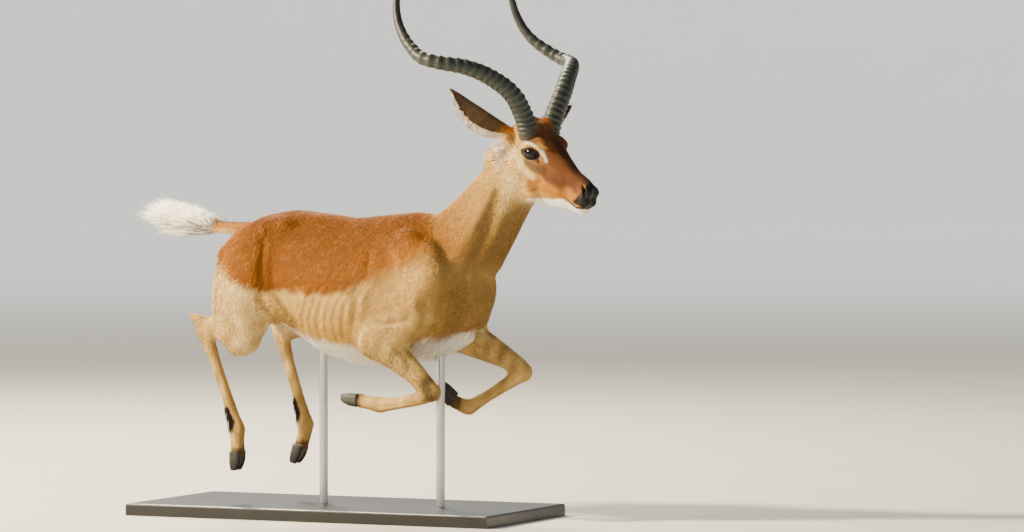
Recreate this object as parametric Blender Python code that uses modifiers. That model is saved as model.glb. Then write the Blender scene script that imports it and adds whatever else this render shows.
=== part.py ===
# Impala ram in mid leap, life size, on a plain display stand.
# The animal faces +X, its left side faces +Y, and the underside of the base is Z = 0.

import math

import bmesh
import bpy
from mathutils import Matrix, Vector
from mathutils.bvhtree import BVHTree

# ---------------------------------------------------------------- driving sizes (metres)
BASE_LENGTH = 1.00
BASE_WIDTH = 0.46
BASE_THICKNESS = 0.03
BASE_BEVEL = 0.004
ROD_RADIUS = 0.011
ROD_DEPTH_IN_BODY = 0.05
ROD_FRONT_X = 0.265
ROD_REAR_X = -0.06
ROD_FRONT_BODY_Z = 0.425
ROD_REAR_BODY_Z = 0.415
HOLE_START_BELOW = 0.06

EYE_RADIUS = 0.0185
EYE_OUT = 0.0375
EYE_CLEARANCE = 0.0004
PART_GAP = 0.0004
FIRST_GAP = 0.0002
FIT_GAP = 0.0005

# steps of a limb's domed end: shift and scale as shares of its radius
DOME = [(0.35, 0.94), (0.70, 0.71), (0.94, 0.34)]

# a form reaches past its two ends by this share of its smaller radius
FORM_OVERREACH = 0.8

VOXEL = 0.0042
SMOOTH_STEPS = 5
FIRST_TRIANGLES = 32000

HEAD_CENTRE = Vector((0.556, -0.030, 0.911))
HEAD_YAW = math.radians(-15.0)
HEAD_PITCH = math.radians(28.7)

HORN_SIDES = 10
HORN_RINGS = 29
HORN_BASE_RADIUS = 0.0240
HORN_RIDGE = 0.0016
# the rings stop at this share of the horn, and its tip is smooth
HORN_RINGED_SHARE = 0.68
HORN_TAPER = 1.35
# the horn is a little wider across than it is deep
HORN_WIDE = 1.06
HORN_DEEP = 0.95

EAR_ARC_STEPS = 8
EAR_THICKNESS = 0.0055
# share of the cup's outline that goes round the fold; the rest rises up its two walls
EAR_FOLD_SHARE = 0.625
# the walls thin to this share at their edges, and lose this share towards the tip
EAR_EDGE_THIN = 0.45
EAR_TIP_THIN = 0.45
# no wall is thicker than this share of the fold's radius
EAR_MOST_THICK = 0.6

# ---------------------------------------------------------------- trunk sections
# x, top z, bottom z, half width, height share of the widest line
TRUNK = [
    (-0.306, 0.668, 0.560, 0.046, 0.50),
    (-0.288, 0.706, 0.515, 0.070, 0.50),
    (-0.256, 0.734, 0.490, 0.092, 0.52),
    (-0.200, 0.757, 0.492, 0.112, 0.58),
    (-0.130, 0.762, 0.455, 0.118, 0.58),
    (-0.050, 0.758, 0.403, 0.128, 0.52),
    (0.035, 0.747, 0.378, 0.136, 0.48),
    (0.120, 0.757, 0.372, 0.134, 0.46),
    (0.200, 0.764, 0.386, 0.122, 0.46),
    (0.270, 0.757, 0.418, 0.108, 0.46),
    (0.330, 0.735, 0.452, 0.092, 0.44),
    (0.380, 0.680, 0.490, 0.068, 0.42),
    (0.402, 0.630, 0.525, 0.043, 0.45),
]

# x, y, z, half width across, half depth in the side view
NECK = [
    (0.200, 0.000, 0.610, 0.090, 0.130),
    (0.292, 0.000, 0.638, 0.084, 0.118),
    (0.350, 0.000, 0.696, 0.076, 0.105),
    (0.397, -0.003, 0.752, 0.066, 0.092),
    (0.440, -0.011, 0.805, 0.057, 0.083),
    (0.478, -0.020, 0.846, 0.052, 0.077),
    (0.515, -0.028, 0.875, 0.048, 0.066),
]

TAIL = [
    (-0.235, 0.000, 0.706, 0.026, 0.026),
    (-0.265, 0.000, 0.714, 0.022, 0.023),
    (-0.300, 0.000, 0.714, 0.018, 0.0195),
    (-0.360, 0.000, 0.714, 0.016, 0.0185),
    (-0.400, 0.000, 0.7185, 0.018, 0.0205),
    (-0.440, 0.000, 0.731, 0.021, 0.033),
    (-0.480, 0.000, 0.740, 0.023, 0.041),
    (-0.520, 0.000, 0.745, 0.021, 0.037),
    (-0.555, 0.000, 0.752, 0.016, 0.027),
    (-0.580, 0.000, 0.760, 0.010, 0.014),
    (-0.590, 0.000, 0.764, 0.005, 0.006),
]

# head sections along the face: f, top, bottom, half width, share of the widest line
HEAD = [
    (-0.108, 0.018, -0.070, 0.036, 0.55),
    (-0.085, 0.048, -0.098, 0.046, 0.58),
    (-0.045, 0.064, -0.118, 0.052, 0.64),
    (-0.010, 0.060, -0.124, 0.0535, 0.68),
    (0.030, 0.049, -0.120, 0.0500, 0.70),
    (0.070, 0.0345, -0.107, 0.0415, 0.66),
    (0.110, 0.0215, -0.094, 0.0335, 0.60),
    (0.145, 0.0130, -0.079, 0.0280, 0.55),
    (0.171, 0.0105, -0.071, 0.0265, 0.55),
    (0.184, 0.0050, -0.062, 0.0235, 0.55),
    (0.191, -0.0060, -0.050, 0.0160, 0.55),
]

# ---------------------------------------------------------------- legs
# every row: x, y, z, half width across, half depth in the side view
LEGS = {
    "foreleg_right_upper": [
        (0.235, -0.085, 0.660, 0.030, 0.070),
        (0.262, -0.098, 0.600, 0.036, 0.070),
        (0.245, -0.104, 0.530, 0.036, 0.068),
        (0.195, -0.112, 0.478, 0.036, 0.058),
        (0.150, -0.120, 0.452, 0.034, 0.046),
    ],
    "foreleg_right_forearm": [
        (0.130, -0.120, 0.446, 0.034, 0.044),
        (0.172, -0.119, 0.428, 0.032, 0.042),
        (0.212, -0.117, 0.399, 0.028, 0.036),
        (0.251, -0.114, 0.366, 0.024, 0.0295),
        (0.276, -0.111, 0.340, 0.0225, 0.026),
        (0.288, -0.109, 0.323, 0.0220, 0.025),
    ],
    "foreleg_right_cannon": [
        (0.288, -0.109, 0.323, 0.0220, 0.026),
        (0.268, -0.101, 0.311, 0.0200, 0.0220),
        (0.235, -0.087, 0.300, 0.0150, 0.0175),
        (0.185, -0.067, 0.290, 0.0135, 0.0160),
        (0.145, -0.051, 0.284, 0.0145, 0.0170),
        (0.118, -0.040, 0.2825, 0.0195, 0.0220),
    ],
    "foreleg_right_pastern": [
        (0.118, -0.040, 0.2825, 0.0195, 0.0220),
        (0.092, -0.038, 0.2860, 0.0180, 0.0180),
        (0.065, -0.035, 0.2900, 0.0190, 0.0180),
        (0.050, -0.034, 0.2910, 0.0190, 0.0170),
    ],
    "foreleg_left_upper": [
        (0.240, 0.085, 0.660, 0.030, 0.070),
        (0.280, 0.098, 0.600, 0.034, 0.070),
        (0.295, 0.102, 0.540, 0.034, 0.066),
        (0.285, 0.104, 0.480, 0.034, 0.056),
        (0.275, 0.102, 0.455, 0.034, 0.048),
    ],
    "foreleg_left_forearm": [
        (0.262, 0.102, 0.455, 0.034, 0.046),
        (0.310, 0.102, 0.440, 0.032, 0.045),
        (0.354, 0.101, 0.420, 0.027, 0.038),
        (0.398, 0.100, 0.399, 0.023, 0.0300),
        (0.427, 0.100, 0.383, 0.0215, 0.0255),
        (0.441, 0.100, 0.370, 0.0210, 0.0245),
    ],
    "foreleg_left_cannon": [
        (0.441, 0.100, 0.370, 0.0210, 0.0250),
        (0.428, 0.099, 0.352, 0.0190, 0.0215),
        (0.400, 0.097, 0.334, 0.0150, 0.0175),
        (0.355, 0.094, 0.306, 0.0135, 0.0155),
        (0.322, 0.092, 0.286, 0.0150, 0.0170),
        (0.300, 0.090, 0.274, 0.0190, 0.0215),
    ],
    "foreleg_left_pastern": [
        (0.300, 0.090, 0.274, 0.0190, 0.0215),
        (0.283, 0.080, 0.280, 0.0180, 0.0180),
        (0.268, 0.069, 0.290, 0.0185, 0.0175),
        (0.261, 0.062, 0.297, 0.0185, 0.0165),
    ],
    "hindleg_right_thigh": [
        (-0.190, -0.060, 0.700, 0.050, 0.090),
        (-0.218, -0.072, 0.630, 0.060, 0.102),
        (-0.240, -0.086, 0.550, 0.056, 0.086),
        (-0.241, -0.094, 0.490, 0.049, 0.079),
        (-0.240, -0.100, 0.450, 0.042, 0.068),
        (-0.234, -0.104, 0.432, 0.034, 0.047),
    ],
    "hindleg_right_shank": [
        (-0.235, -0.098, 0.452, 0.032, 0.044),
        (-0.290, -0.090, 0.464, 0.026, 0.036),
        (-0.325, -0.085, 0.470, 0.021, 0.030),
        (-0.350, -0.081, 0.470, 0.0185, 0.027),
    ],
    "hindleg_right_cannon": [
        (-0.366, -0.080, 0.480, 0.0170, 0.0200),
        (-0.356, -0.080, 0.458, 0.0185, 0.0225),
        (-0.342, -0.079, 0.425, 0.0165, 0.0185),
        (-0.325, -0.077, 0.380, 0.0135, 0.0150),
        (-0.298, -0.074, 0.305, 0.0130, 0.0145),
        (-0.276, -0.071, 0.240, 0.0150, 0.0175),
        (-0.268, -0.070, 0.214, 0.0195, 0.0225),
    ],
    "hindleg_right_pastern": [
        (-0.268, -0.070, 0.214, 0.0195, 0.0225),
        (-0.268, -0.070, 0.190, 0.0180, 0.0185),
        (-0.266, -0.070, 0.165, 0.0190, 0.0180),
        (-0.265, -0.070, 0.152, 0.0190, 0.0170),
    ],
    "hindleg_left_thigh": [
        (-0.190, 0.060, 0.700, 0.050, 0.088),
        (-0.160, 0.072, 0.630, 0.056, 0.096),
        (-0.110, 0.086, 0.570, 0.052, 0.080),
        (-0.065, 0.098, 0.530, 0.044, 0.060),
        (-0.045, 0.102, 0.515, 0.038, 0.046),
    ],
    "hindleg_left_shank": [
        (-0.050, 0.101, 0.515, 0.034, 0.044),
        (-0.105, 0.092, 0.492, 0.030, 0.040),
        (-0.150, 0.083, 0.474, 0.024, 0.032),
        (-0.185, 0.076, 0.460, 0.0195, 0.026),
        (-0.205, 0.072, 0.456, 0.0185, 0.025),
    ],
    "hindleg_left_cannon": [
        (-0.226, 0.070, 0.466, 0.0165, 0.0190),
        (-0.216, 0.070, 0.446, 0.0185, 0.0225),
        (-0.206, 0.070, 0.415, 0.0165, 0.0190),
        (-0.194, 0.070, 0.375, 0.0135, 0.0155),
        (-0.170, 0.070, 0.300, 0.0130, 0.0150),
        (-0.153, 0.070, 0.245, 0.0150, 0.0180),
        (-0.146, 0.070, 0.221, 0.0195, 0.0230),
    ],
    "hindleg_left_pastern": [
        (-0.146, 0.070, 0.221, 0.0195, 0.0230),
        (-0.150, 0.070, 0.196, 0.0180, 0.0185),
        (-0.157, 0.070, 0.172, 0.0185, 0.0180),
        (-0.160, 0.070, 0.161, 0.0185, 0.0170),
    ],
}

# ---------------------------------------------------------------- swelling forms on the body
# start, end, radius across, radius in the side view
FORMS = [
    # shoulder blade and upper arm
    ((0.205, -0.088, 0.705), (0.290, -0.100, 0.545), 0.030, 0.056),
    ((0.205, 0.088, 0.705), (0.300, 0.100, 0.545), 0.030, 0.056),
    # back of the upper arm down to the point of the elbow
    ((0.235, -0.104, 0.560), (0.112, -0.116, 0.448), 0.032, 0.046),
    ((0.245, 0.104, 0.560), (0.235, 0.104, 0.455), 0.032, 0.048),
    # point of the elbow
    ((0.104, -0.118, 0.456), (0.135, -0.118, 0.430), 0.022, 0.022),
    # breast and front of the chest
    ((0.340, -0.036, 0.600), (0.353, -0.036, 0.500), 0.040, 0.040),
    ((0.340, 0.036, 0.600), (0.353, 0.036, 0.500), 0.040, 0.040),
    ((0.150, 0.000, 0.415), (0.335, 0.000, 0.455), 0.046, 0.038),
    # withers
    ((0.170, 0.000, 0.735), (0.255, 0.000, 0.732), 0.040, 0.030),
    # croup, hip bones and seat bones
    ((-0.120, -0.070, 0.722), (-0.210, -0.052, 0.700), 0.040, 0.033),
    ((-0.120, 0.070, 0.722), (-0.210, 0.052, 0.700), 0.040, 0.033),
    ((-0.262, -0.048, 0.680), (-0.298, -0.064, 0.560), 0.042, 0.038),
    ((-0.262, 0.048, 0.680), (-0.280, 0.062, 0.590), 0.042, 0.038),
    # flank folds in front of the thighs
    ((-0.175, -0.095, 0.600), (-0.150, -0.088, 0.500), 0.030, 0.040),
    ((-0.060, 0.098, 0.560), (-0.020, 0.090, 0.500), 0.034, 0.044),
    # big muscle on the outside of each thigh
    ((-0.190, -0.090, 0.660), (-0.255, -0.110, 0.505), 0.045, 0.066),
    ((-0.190, 0.090, 0.660), (-0.105, 0.108, 0.545), 0.042, 0.074),
    # knee cap of each hind leg
    ((-0.212, -0.110, 0.456), (-0.228, -0.108, 0.426), 0.032, 0.038),
    # hock points
    ((-0.391, -0.080, 0.496), (-0.350, -0.080, 0.480), 0.0130, 0.0130),
    ((-0.246, 0.070, 0.482), (-0.212, 0.070, 0.466), 0.0130, 0.0130),
    # knees of the forelegs
    ((0.298, -0.108, 0.330), (0.292, -0.107, 0.312), 0.0215, 0.0240),
    ((0.452, 0.100, 0.372), (0.442, 0.100, 0.355), 0.0205, 0.0240),
    # ruff of longer hair on the nape, behind each ear
    ((0.452, -0.052, 0.918), (0.418, -0.038, 0.868), 0.020, 0.026),
    ((0.468, 0.008, 0.918), (0.430, 0.010, 0.868), 0.020, 0.026),
    # pear shaped belly
    ((-0.080, 0.000, 0.500), (0.120, 0.000, 0.470), 0.118, 0.088),
]

# forms on the head: centre (f, side, t), radii (f, side, t); side forms are mirrored
HEAD_FORMS = [
    # rim of the eye socket, then the brow above it
    ((-0.004, 0.0450, 0.0230), (0.031, 0.0160, 0.0120)),
    ((0.008, 0.0378, 0.0390), (0.032, 0.0150, 0.0120)),
    # lower rim of the eye socket
    ((0.008, 0.0400, -0.0270), (0.034, 0.0150, 0.0120)),
    # chewing muscle and cheekbone
    ((0.010, 0.0300, -0.0780), (0.052, 0.0200, 0.0440)),
    ((0.075, 0.0270, -0.0400), (0.060, 0.0160, 0.0240)),
    # wing of the nostril and upper lip
    ((0.177, 0.0125, -0.0080), (0.020, 0.0130, 0.0150)),
    ((0.176, 0.0110, -0.0330), (0.025, 0.0165, 0.0180)),
    # bony foot of the horn
    ((-0.045, 0.0360, 0.0520), (0.027, 0.0240, 0.0240)),
]
HEAD_MIDLINE_FORMS = [
    # chin, crown and bridge of the nose
    ((0.175, 0.0, -0.0610), (0.020, 0.0180, 0.0125)),
    ((-0.070, 0.0, 0.0400), (0.034, 0.0360, 0.0260)),
    ((0.120, 0.0, 0.0050), (0.070, 0.0170, 0.0130)),
]

# ---------------------------------------------------------------- horns
HORN_BASE = (-0.040, 0.0430, 0.0520)
# outward, back, up from the base of the horn
HORN_PATH = [
    (0.000, 0.000, -0.010),
    (0.010, 0.000, 0.016),
    (0.025, 0.001, 0.042),
    (0.049, 0.004, 0.075),
    (0.096, 0.026, 0.115),
    (0.154, 0.061, 0.144),
    (0.210, 0.112, 0.158),
    (0.222, 0.150, 0.168),
    (0.212, 0.190, 0.190),
    (0.198, 0.230, 0.222),
    (0.188, 0.258, 0.265),
    (0.178, 0.270, 0.310),
    (0.165, 0.272, 0.366),
    (0.156, 0.262, 0.425),
    (0.152, 0.246, 0.470),
]
HORN_TIP_RADIUS = 0.0030

# ---------------------------------------------------------------- ears
EAR_ROOT = {"right": (-0.074, -0.0380, 0.0090), "left": (-0.070, 0.0360, 0.0100)}
# outward, back, up from the root to the tip
EAR_REACH = {"right": (0.070, 0.143, 0.113), "left": (0.171, 0.022, 0.072)}
# direction the cup opens to, in the world
EAR_OPEN = {"right": (-0.37, -0.56, -0.73), "left": (-0.75, 0.25, -0.50)}
# share of length, radius of the fold, reach of the two walls beyond the fold
EAR_SECTIONS = [
    (0.00, 0.0165, 0.004),
    (0.12, 0.0195, 0.018),
    (0.25, 0.0230, 0.027),
    (0.40, 0.0255, 0.030),
    (0.55, 0.0245, 0.029),
    (0.70, 0.0200, 0.023),
    (0.83, 0.0145, 0.014),
    (0.93, 0.0085, 0.007),
    (1.00, 0.0040, 0.002),
]
EAR_BOW = 0.016

# ---------------------------------------------------------------- hooves
# coronet centre, toe direction, direction the sole faces
FEET = {
    "foreleg_right": ((0.060, -0.035, 0.2905), (-1.0, 0.08, 0.02), (0.10, 0.0, 1.0)),
    "foreleg_left": ((0.267, 0.067, 0.2915), (-0.55, -0.45, 0.66), (0.62, -0.20, 0.70)),
    "hindleg_right": ((-0.2655, -0.070, 0.160), (0.02, 0.0, -1.0), (-1.0, 0.0, -0.10)),
    "hindleg_left": ((-0.159, 0.070, 0.169), (-0.24, 0.0, -1.0), (-1.0, 0.0, 0.20)),
}
HOOF_SPREAD = 0.0112
HOOF_SIDES = 8
# the sole is flat: its corners come in to this share of the half width
HOOF_SOLE_SHARE = 0.75
HOOF_SOLE_FLATNESS = 1.6
# share along the toe, half width, dorsal reach, sole reach
HOOF_SECTIONS = [
    (0.000, 0.0102, 0.0170, 0.0170),
    (0.026, 0.0100, 0.0140, 0.0180),
    (0.040, 0.0078, 0.0080, 0.0178),
    (0.050, 0.0045, 0.0010, 0.0165),
]

# ---------------------------------------------------------------- partings between nodes
# thin slabs: centre, direction across the cut, direction along it, half sizes of the slab
SLABS = [
    ((0.476, -0.022, 0.838), (0.80, -0.10, 0.42), (0.0, 1.0, 0.0), 0.110, 0.130),
    ((0.318, 0.000, 0.705), (0.72, 0.00, 0.62), (0.0, 1.0, 0.0), 0.150, 0.180),
    ((-0.330, 0.000, 0.714), (1.0, 0.0, 0.0), (0.0, 1.0, 0.0), 0.034, 0.034),
    ((0.338, 0.100, 0.418), (0.92, 0.00, -0.40), (0.0, 1.0, 0.0), 0.050, 0.050),
    ((0.436, 0.100, 0.363), (0.09, 0.00, -0.996), (0.0, 1.0, 0.0), 0.040, 0.050),
    ((0.125, -0.043, 0.2825), (1.0, -0.30, 0.0), (0.0, 0.0, 1.0), 0.036, 0.036),
    ((0.305, 0.090, 0.276), (0.78, 0.10, 0.45), (0.0, 1.0, 0.0), 0.036, 0.036),
    ((-0.349, -0.080, 0.443), (-0.35, 0.0, 0.93), (0.0, 1.0, 0.0), 0.036, 0.036),
    ((-0.270, -0.070, 0.222), (-0.2, 0.0, 1.0), (0.0, 1.0, 0.0), 0.036, 0.036),
    ((-0.148, 0.070, 0.229), (-0.2, 0.0, 1.0), (0.0, 1.0, 0.0), 0.036, 0.036),
]
# slabs that meet one of the regions below, so they are cut on their own
SIDE_SLABS = [
    ((-0.326, -0.085, 0.462), (0.974, 0.0, 0.225), (0.0, 1.0, 0.0), 0.050, 0.068),
]
# thin box shells round a whole region: centre, half sizes, direction of the long side
REGIONS = [
    ((-0.300, -0.134, 0.290), (0.145, 0.119, 0.240), (1.0, 0.0, 0.0)),
    ((-0.146, 0.105, 0.4765), (0.121, 0.052, 0.050), (-0.94, -0.16, -0.34)),
    ((0.2446, -0.1422, 0.3716), (0.1173, 0.0577, 0.0470), (0.80, 0.0, -0.60)),
]

# a point inside each flesh node, used to name it, and its share of triangles
NODES = {
    "trunk": ((0.050, 0.000, 0.570), 900),
    "neck": ((0.400, -0.010, 0.770), 330),
    "head": ((0.580, -0.035, 0.880), 1020),
    "tail": ((-0.450, 0.000, 0.735), 280),
    "foreleg_right_forearm": ((0.215, -0.116, 0.382), 210),
    "foreleg_right_cannon": ((0.200, -0.070, 0.293), 160),
    "foreleg_right_pastern": ((0.088, -0.038, 0.287), 110),
    "foreleg_left_forearm": ((0.385, 0.100, 0.398), 180),
    "foreleg_left_cannon": ((0.370, 0.095, 0.316), 160),
    "foreleg_left_pastern": ((0.280, 0.078, 0.281), 110),
    "hindleg_right_thigh": ((-0.245, -0.095, 0.470), 250),
    "hindleg_right_shank": ((-0.350, -0.082, 0.472), 130),
    "hindleg_right_cannon": ((-0.310, -0.075, 0.340), 170),
    "hindleg_right_pastern": ((-0.267, -0.070, 0.180), 110),
    "hindleg_left_shank": ((-0.150, 0.085, 0.475), 210),
    "hindleg_left_cannon": ((-0.180, 0.070, 0.330), 170),
    "hindleg_left_pastern": ((-0.153, 0.070, 0.190), 110),
}

COLOURS = {
    "coat_rufous": ((0.45, 0.17, 0.05), 0.75, 0.0),
    "coat_fawn": ((0.62, 0.40, 0.20), 0.75, 0.0),
    "coat_white": ((0.80, 0.76, 0.66), 0.75, 0.0),
    "horn": ((0.07, 0.075, 0.07), 0.45, 0.0),
    "hoof": ((0.02, 0.018, 0.016), 0.4, 0.0),
    "eye": ((0.01, 0.006, 0.004), 0.08, 0.0),
    "stand_black": ((0.02, 0.02, 0.02), 0.5, 0.0),
    "stand_steel": ((0.35, 0.35, 0.36), 0.35, 0.9),
}


# ---------------------------------------------------------------- helpers
def clear_scene():
    for item in list(bpy.data.objects):
        bpy.data.objects.remove(item, do_unlink=True)


def make_collection(name):
    group = bpy.data.collections.new(name)
    bpy.context.scene.collection.children.link(group)
    return group


def make_material(name):
    colour, roughness, metallic = COLOURS[name]
    material = bpy.data.materials.new(name)
    material.use_nodes = True
    shader = material.node_tree.nodes["Principled BSDF"]
    shader.inputs["Base Color"].default_value = (colour[0], colour[1], colour[2], 1.0)
    shader.inputs["Roughness"].default_value = roughness
    shader.inputs["Metallic"].default_value = metallic
    return material


def object_from_bmesh(name, bm, group):
    bmesh.ops.recalc_face_normals(bm, faces=bm.faces)
    mesh = bpy.data.meshes.new(name)
    bm.to_mesh(mesh)
    bm.free()
    item = bpy.data.objects.new(name, mesh)
    group.objects.link(item)
    return item


def apply_modifiers(item):
    bpy.context.view_layer.objects.active = item
    for modifier in list(item.modifiers):
        bpy.ops.object.modifier_apply(modifier=modifier.name)


def boolean(item, cutter, solver="EXACT"):
    modifier = item.modifiers.new("cut", "BOOLEAN")
    modifier.operation = "DIFFERENCE"
    modifier.solver = solver
    modifier.object = cutter
    apply_modifiers(item)


def swollen_copy(item, gap, group):
    # the same solid pushed out by a small gap, so that what it cuts clears it all round
    mesh = item.data.copy()
    copy = bpy.data.objects.new("cutter_" + item.name, mesh)
    group.objects.link(copy)
    push = copy.modifiers.new("clearance", "DISPLACE")
    push.strength = gap
    push.mid_level = 0.0
    apply_modifiers(copy)
    mark_cutter(copy)
    return copy


def mark_cutter(item):
    item.hide_render = True
    item.display_type = "WIRE"


def remove(item):
    bpy.data.objects.remove(item, do_unlink=True)


def path_frames(points, side):
    frames = []
    for index, point in enumerate(points):
        before = points[max(index - 1, 0)]
        after = points[min(index + 1, len(points) - 1)]
        along = (after - before).normalized()
        across = (side - along * side.dot(along)).normalized()
        up = along.cross(across)
        frames.append((point, along, across, up))
    return frames


def skin_rings(bm, rings):
    # joins rings of equal count into one closed body with a cap at each end
    for first, second in zip(rings, rings[1:]):
        count = len(first)
        for index in range(count):
            following = (index + 1) % count
            bm.faces.new((first[index], first[following], second[following], second[index]))
    bm.faces.new(list(reversed(rings[0])))
    bm.faces.new(rings[-1])


def limb(bm, rows, sides=16, side=Vector((0.0, 1.0, 0.0))):
    # a rounded limb through rows of x, y, z, half width, half depth, with domed ends
    points = [Vector(row[:3]) for row in rows]
    frames = path_frames(points, side)
    rings = []
    last = len(rows) - 1
    for index, row in enumerate(rows):
        point, along, across, up = frames[index]
        steps = [(0.0, 1.0)]
        if index == 0:
            steps = [(-shift, scale) for shift, scale in reversed(DOME)] + steps
        if index == last:
            steps = steps + DOME
        for shift, scale in steps:
            reach = min(row[3], row[4])
            centre = point + along * shift * reach
            ring = []
            for step in range(sides):
                angle = 2.0 * math.pi * step / sides
                offset = across * math.cos(angle) * row[3] + up * math.sin(angle) * row[4]
                ring.append(bm.verts.new(centre + offset * scale))
            rings.append(ring)
    skin_rings(bm, rings)


def egg_section(low, high, half_width, share, sides):
    # outline of a body section whose widest line sits at a share of its height
    middle = low + (high - low) * share
    outline = []
    for step in range(sides):
        angle = 2.0 * math.pi * step / sides
        side = half_width * math.cos(angle)
        rise = math.sin(angle)
        height = middle + rise * ((high - middle) if rise > 0.0 else (middle - low))
        outline.append((side, height))
    return outline


def egg_loft(bm, rows, frame, sides=24):
    rings = []
    for along, high, low, half_width, share in rows:
        ring = []
        for side, height in egg_section(low, high, half_width, share, sides):
            ring.append(bm.verts.new(frame @ Vector((along, side, height))))
        rings.append(ring)
    skin_rings(bm, rings)


def ellipsoid(bm, centre, axes, radii):
    matrix = Matrix.Identity(4)
    for column in range(3):
        for row in range(3):
            matrix[row][column] = axes[column][row] * radii[column]
        matrix[column][3] = centre[column]
    bmesh.ops.create_uvsphere(bm, u_segments=20, v_segments=12, radius=1.0, matrix=matrix)


def form(bm, start, end, across_radius, depth_radius):
    # a muscle or bone form: an ellipsoid that reaches a little past both its ends
    start = Vector(start)
    end = Vector(end)
    along = (end - start).normalized()
    side = Vector((0.0, 1.0, 0.0))
    across = (side - along * side.dot(along)).normalized()
    up = along.cross(across)
    half_length = (end - start).length * 0.5 + min(across_radius, depth_radius) * FORM_OVERREACH
    ellipsoid(bm, (start + end) * 0.5, (along, across, up), (half_length, across_radius, depth_radius))


def head_frame():
    forward = Vector((math.cos(HEAD_YAW), math.sin(HEAD_YAW), 0.0))
    left = Vector((-math.sin(HEAD_YAW), math.cos(HEAD_YAW), 0.0))
    up = Vector((0.0, 0.0, 1.0))
    face = forward * math.cos(HEAD_PITCH) - up * math.sin(HEAD_PITCH)
    crown = forward * math.sin(HEAD_PITCH) + up * math.cos(HEAD_PITCH)
    matrix = Matrix.Identity(4)
    for row in range(3):
        matrix[row][0] = face[row]
        matrix[row][1] = left[row]
        matrix[row][2] = crown[row]
        matrix[row][3] = HEAD_CENTRE[row]
    return matrix, forward, left, up


def slab_solid(bm, row, gap):
    centre, normal, along, half_along, half_other = row
    normal = Vector(normal).normalized()
    along = Vector(along)
    along = (along - normal * along.dot(normal)).normalized()
    other = normal.cross(along)
    matrix = Matrix.Identity(4)
    for index in range(3):
        matrix[index][0] = normal[index] * gap
        matrix[index][1] = along[index] * half_along * 2.0
        matrix[index][2] = other[index] * half_other * 2.0
        matrix[index][3] = centre[index]
    bmesh.ops.create_cube(bm, size=1.0, matrix=matrix)


def region_shell(bm, row, gap):
    centre, half, direction = row
    along = Vector(direction).normalized()
    side = Vector((0.0, 1.0, 0.0))
    across = (side - along * side.dot(along)).normalized()
    up = along.cross(across)
    for grow, flip in ((gap * 0.5, False), (-gap * 0.5, True)):
        matrix = Matrix.Identity(4)
        for index in range(3):
            matrix[index][0] = along[index] * (half[0] + grow) * 2.0
            matrix[index][1] = across[index] * (half[1] + grow) * 2.0
            matrix[index][2] = up[index] * (half[2] + grow) * 2.0
            matrix[index][3] = centre[index]
        made = bmesh.ops.create_cube(bm, size=1.0, matrix=matrix)
        if flip:
            faces = {face for vertex in made["verts"] for face in vertex.link_faces}
            bmesh.ops.reverse_faces(bm, faces=list(faces))


def build_cutters(gap, group):
    cutters = []
    for name, rows, maker in (
        ("cutter_regions", REGIONS, region_shell),
        ("cutter_slabs", SLABS, slab_solid),
        ("cutter_side_slabs", SIDE_SLABS, slab_solid),
    ):
        bm = bmesh.new()
        for row in rows:
            maker(bm, row, gap)
        mesh = bpy.data.meshes.new(name)
        bm.to_mesh(mesh)
        bm.free()
        item = bpy.data.objects.new(name, mesh)
        group.objects.link(item)
        mark_cutter(item)
        cutters.append(item)
    return cutters


def triangles(item):
    return sum(len(face.vertices) - 2 for face in item.data.polygons)


def decimate(item, target):
    count = triangles(item)
    if count <= target:
        return
    modifier = item.modifiers.new("fewer facets", "DECIMATE")
    modifier.ratio = target / count
    modifier.use_collapse_triangulate = True
    apply_modifiers(item)


def loose_parts(item, group):
    # splits one mesh into its separate closed pieces
    bm = bmesh.new()
    bm.from_mesh(item.data)
    bm.verts.ensure_lookup_table()
    seen = set()
    parts = []
    for vertex in bm.verts:
        if vertex.index in seen:
            continue
        stack = [vertex]
        seen.add(vertex.index)
        piece = []
        while stack:
            current = stack.pop()
            piece.append(current.index)
            for edge in current.link_edges:
                other = edge.other_vert(current)
                if other.index not in seen:
                    seen.add(other.index)
                    stack.append(other)
        parts.append(piece)
    bm.free()
    items = []
    for number, piece in enumerate(parts):
        keep = set(piece)
        bm = bmesh.new()
        bm.from_mesh(item.data)
        bm.verts.ensure_lookup_table()
        drop = [vertex for vertex in bm.verts if vertex.index not in keep]
        bmesh.ops.delete(bm, geom=drop, context="VERTS")
        items.append(object_from_bmesh("piece_%d" % number, bm, group))
    remove(item)
    return items


def largest_piece(item, group):
    pieces = loose_parts(item, group)
    pieces.sort(key=volume, reverse=True)
    for piece in pieces[1:]:
        remove(piece)
    return pieces[0]


def volume(item):
    bm = bmesh.new()
    bm.from_mesh(item.data)
    amount = abs(bm.calc_volume())
    bm.free()
    return amount


def contains(item, point):
    # a ray from a point inside a closed mesh crosses its surface an odd number of times
    corners = [vertex.co for vertex in item.data.vertices]
    faces = [face.vertices for face in item.data.polygons]
    tree = BVHTree.FromPolygons(corners, faces)
    direction = Vector((0.31, 0.87, 0.38)).normalized()
    crossings = 0
    place = Vector(point)
    while True:
        hit, normal, index, distance = tree.ray_cast(place, direction)
        if hit is None:
            return crossings % 2 == 1
        crossings += 1
        place = hit + direction * 1e-6


def finish(item, name, material, group, smooth=True):
    item.name = name
    item.data.name = name
    item.data.materials.clear()
    item.data.materials.append(material)
    for face in item.data.polygons:
        face.use_smooth = smooth
    for holder in list(item.users_collection):
        holder.objects.unlink(item)
    group.objects.link(item)


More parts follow.
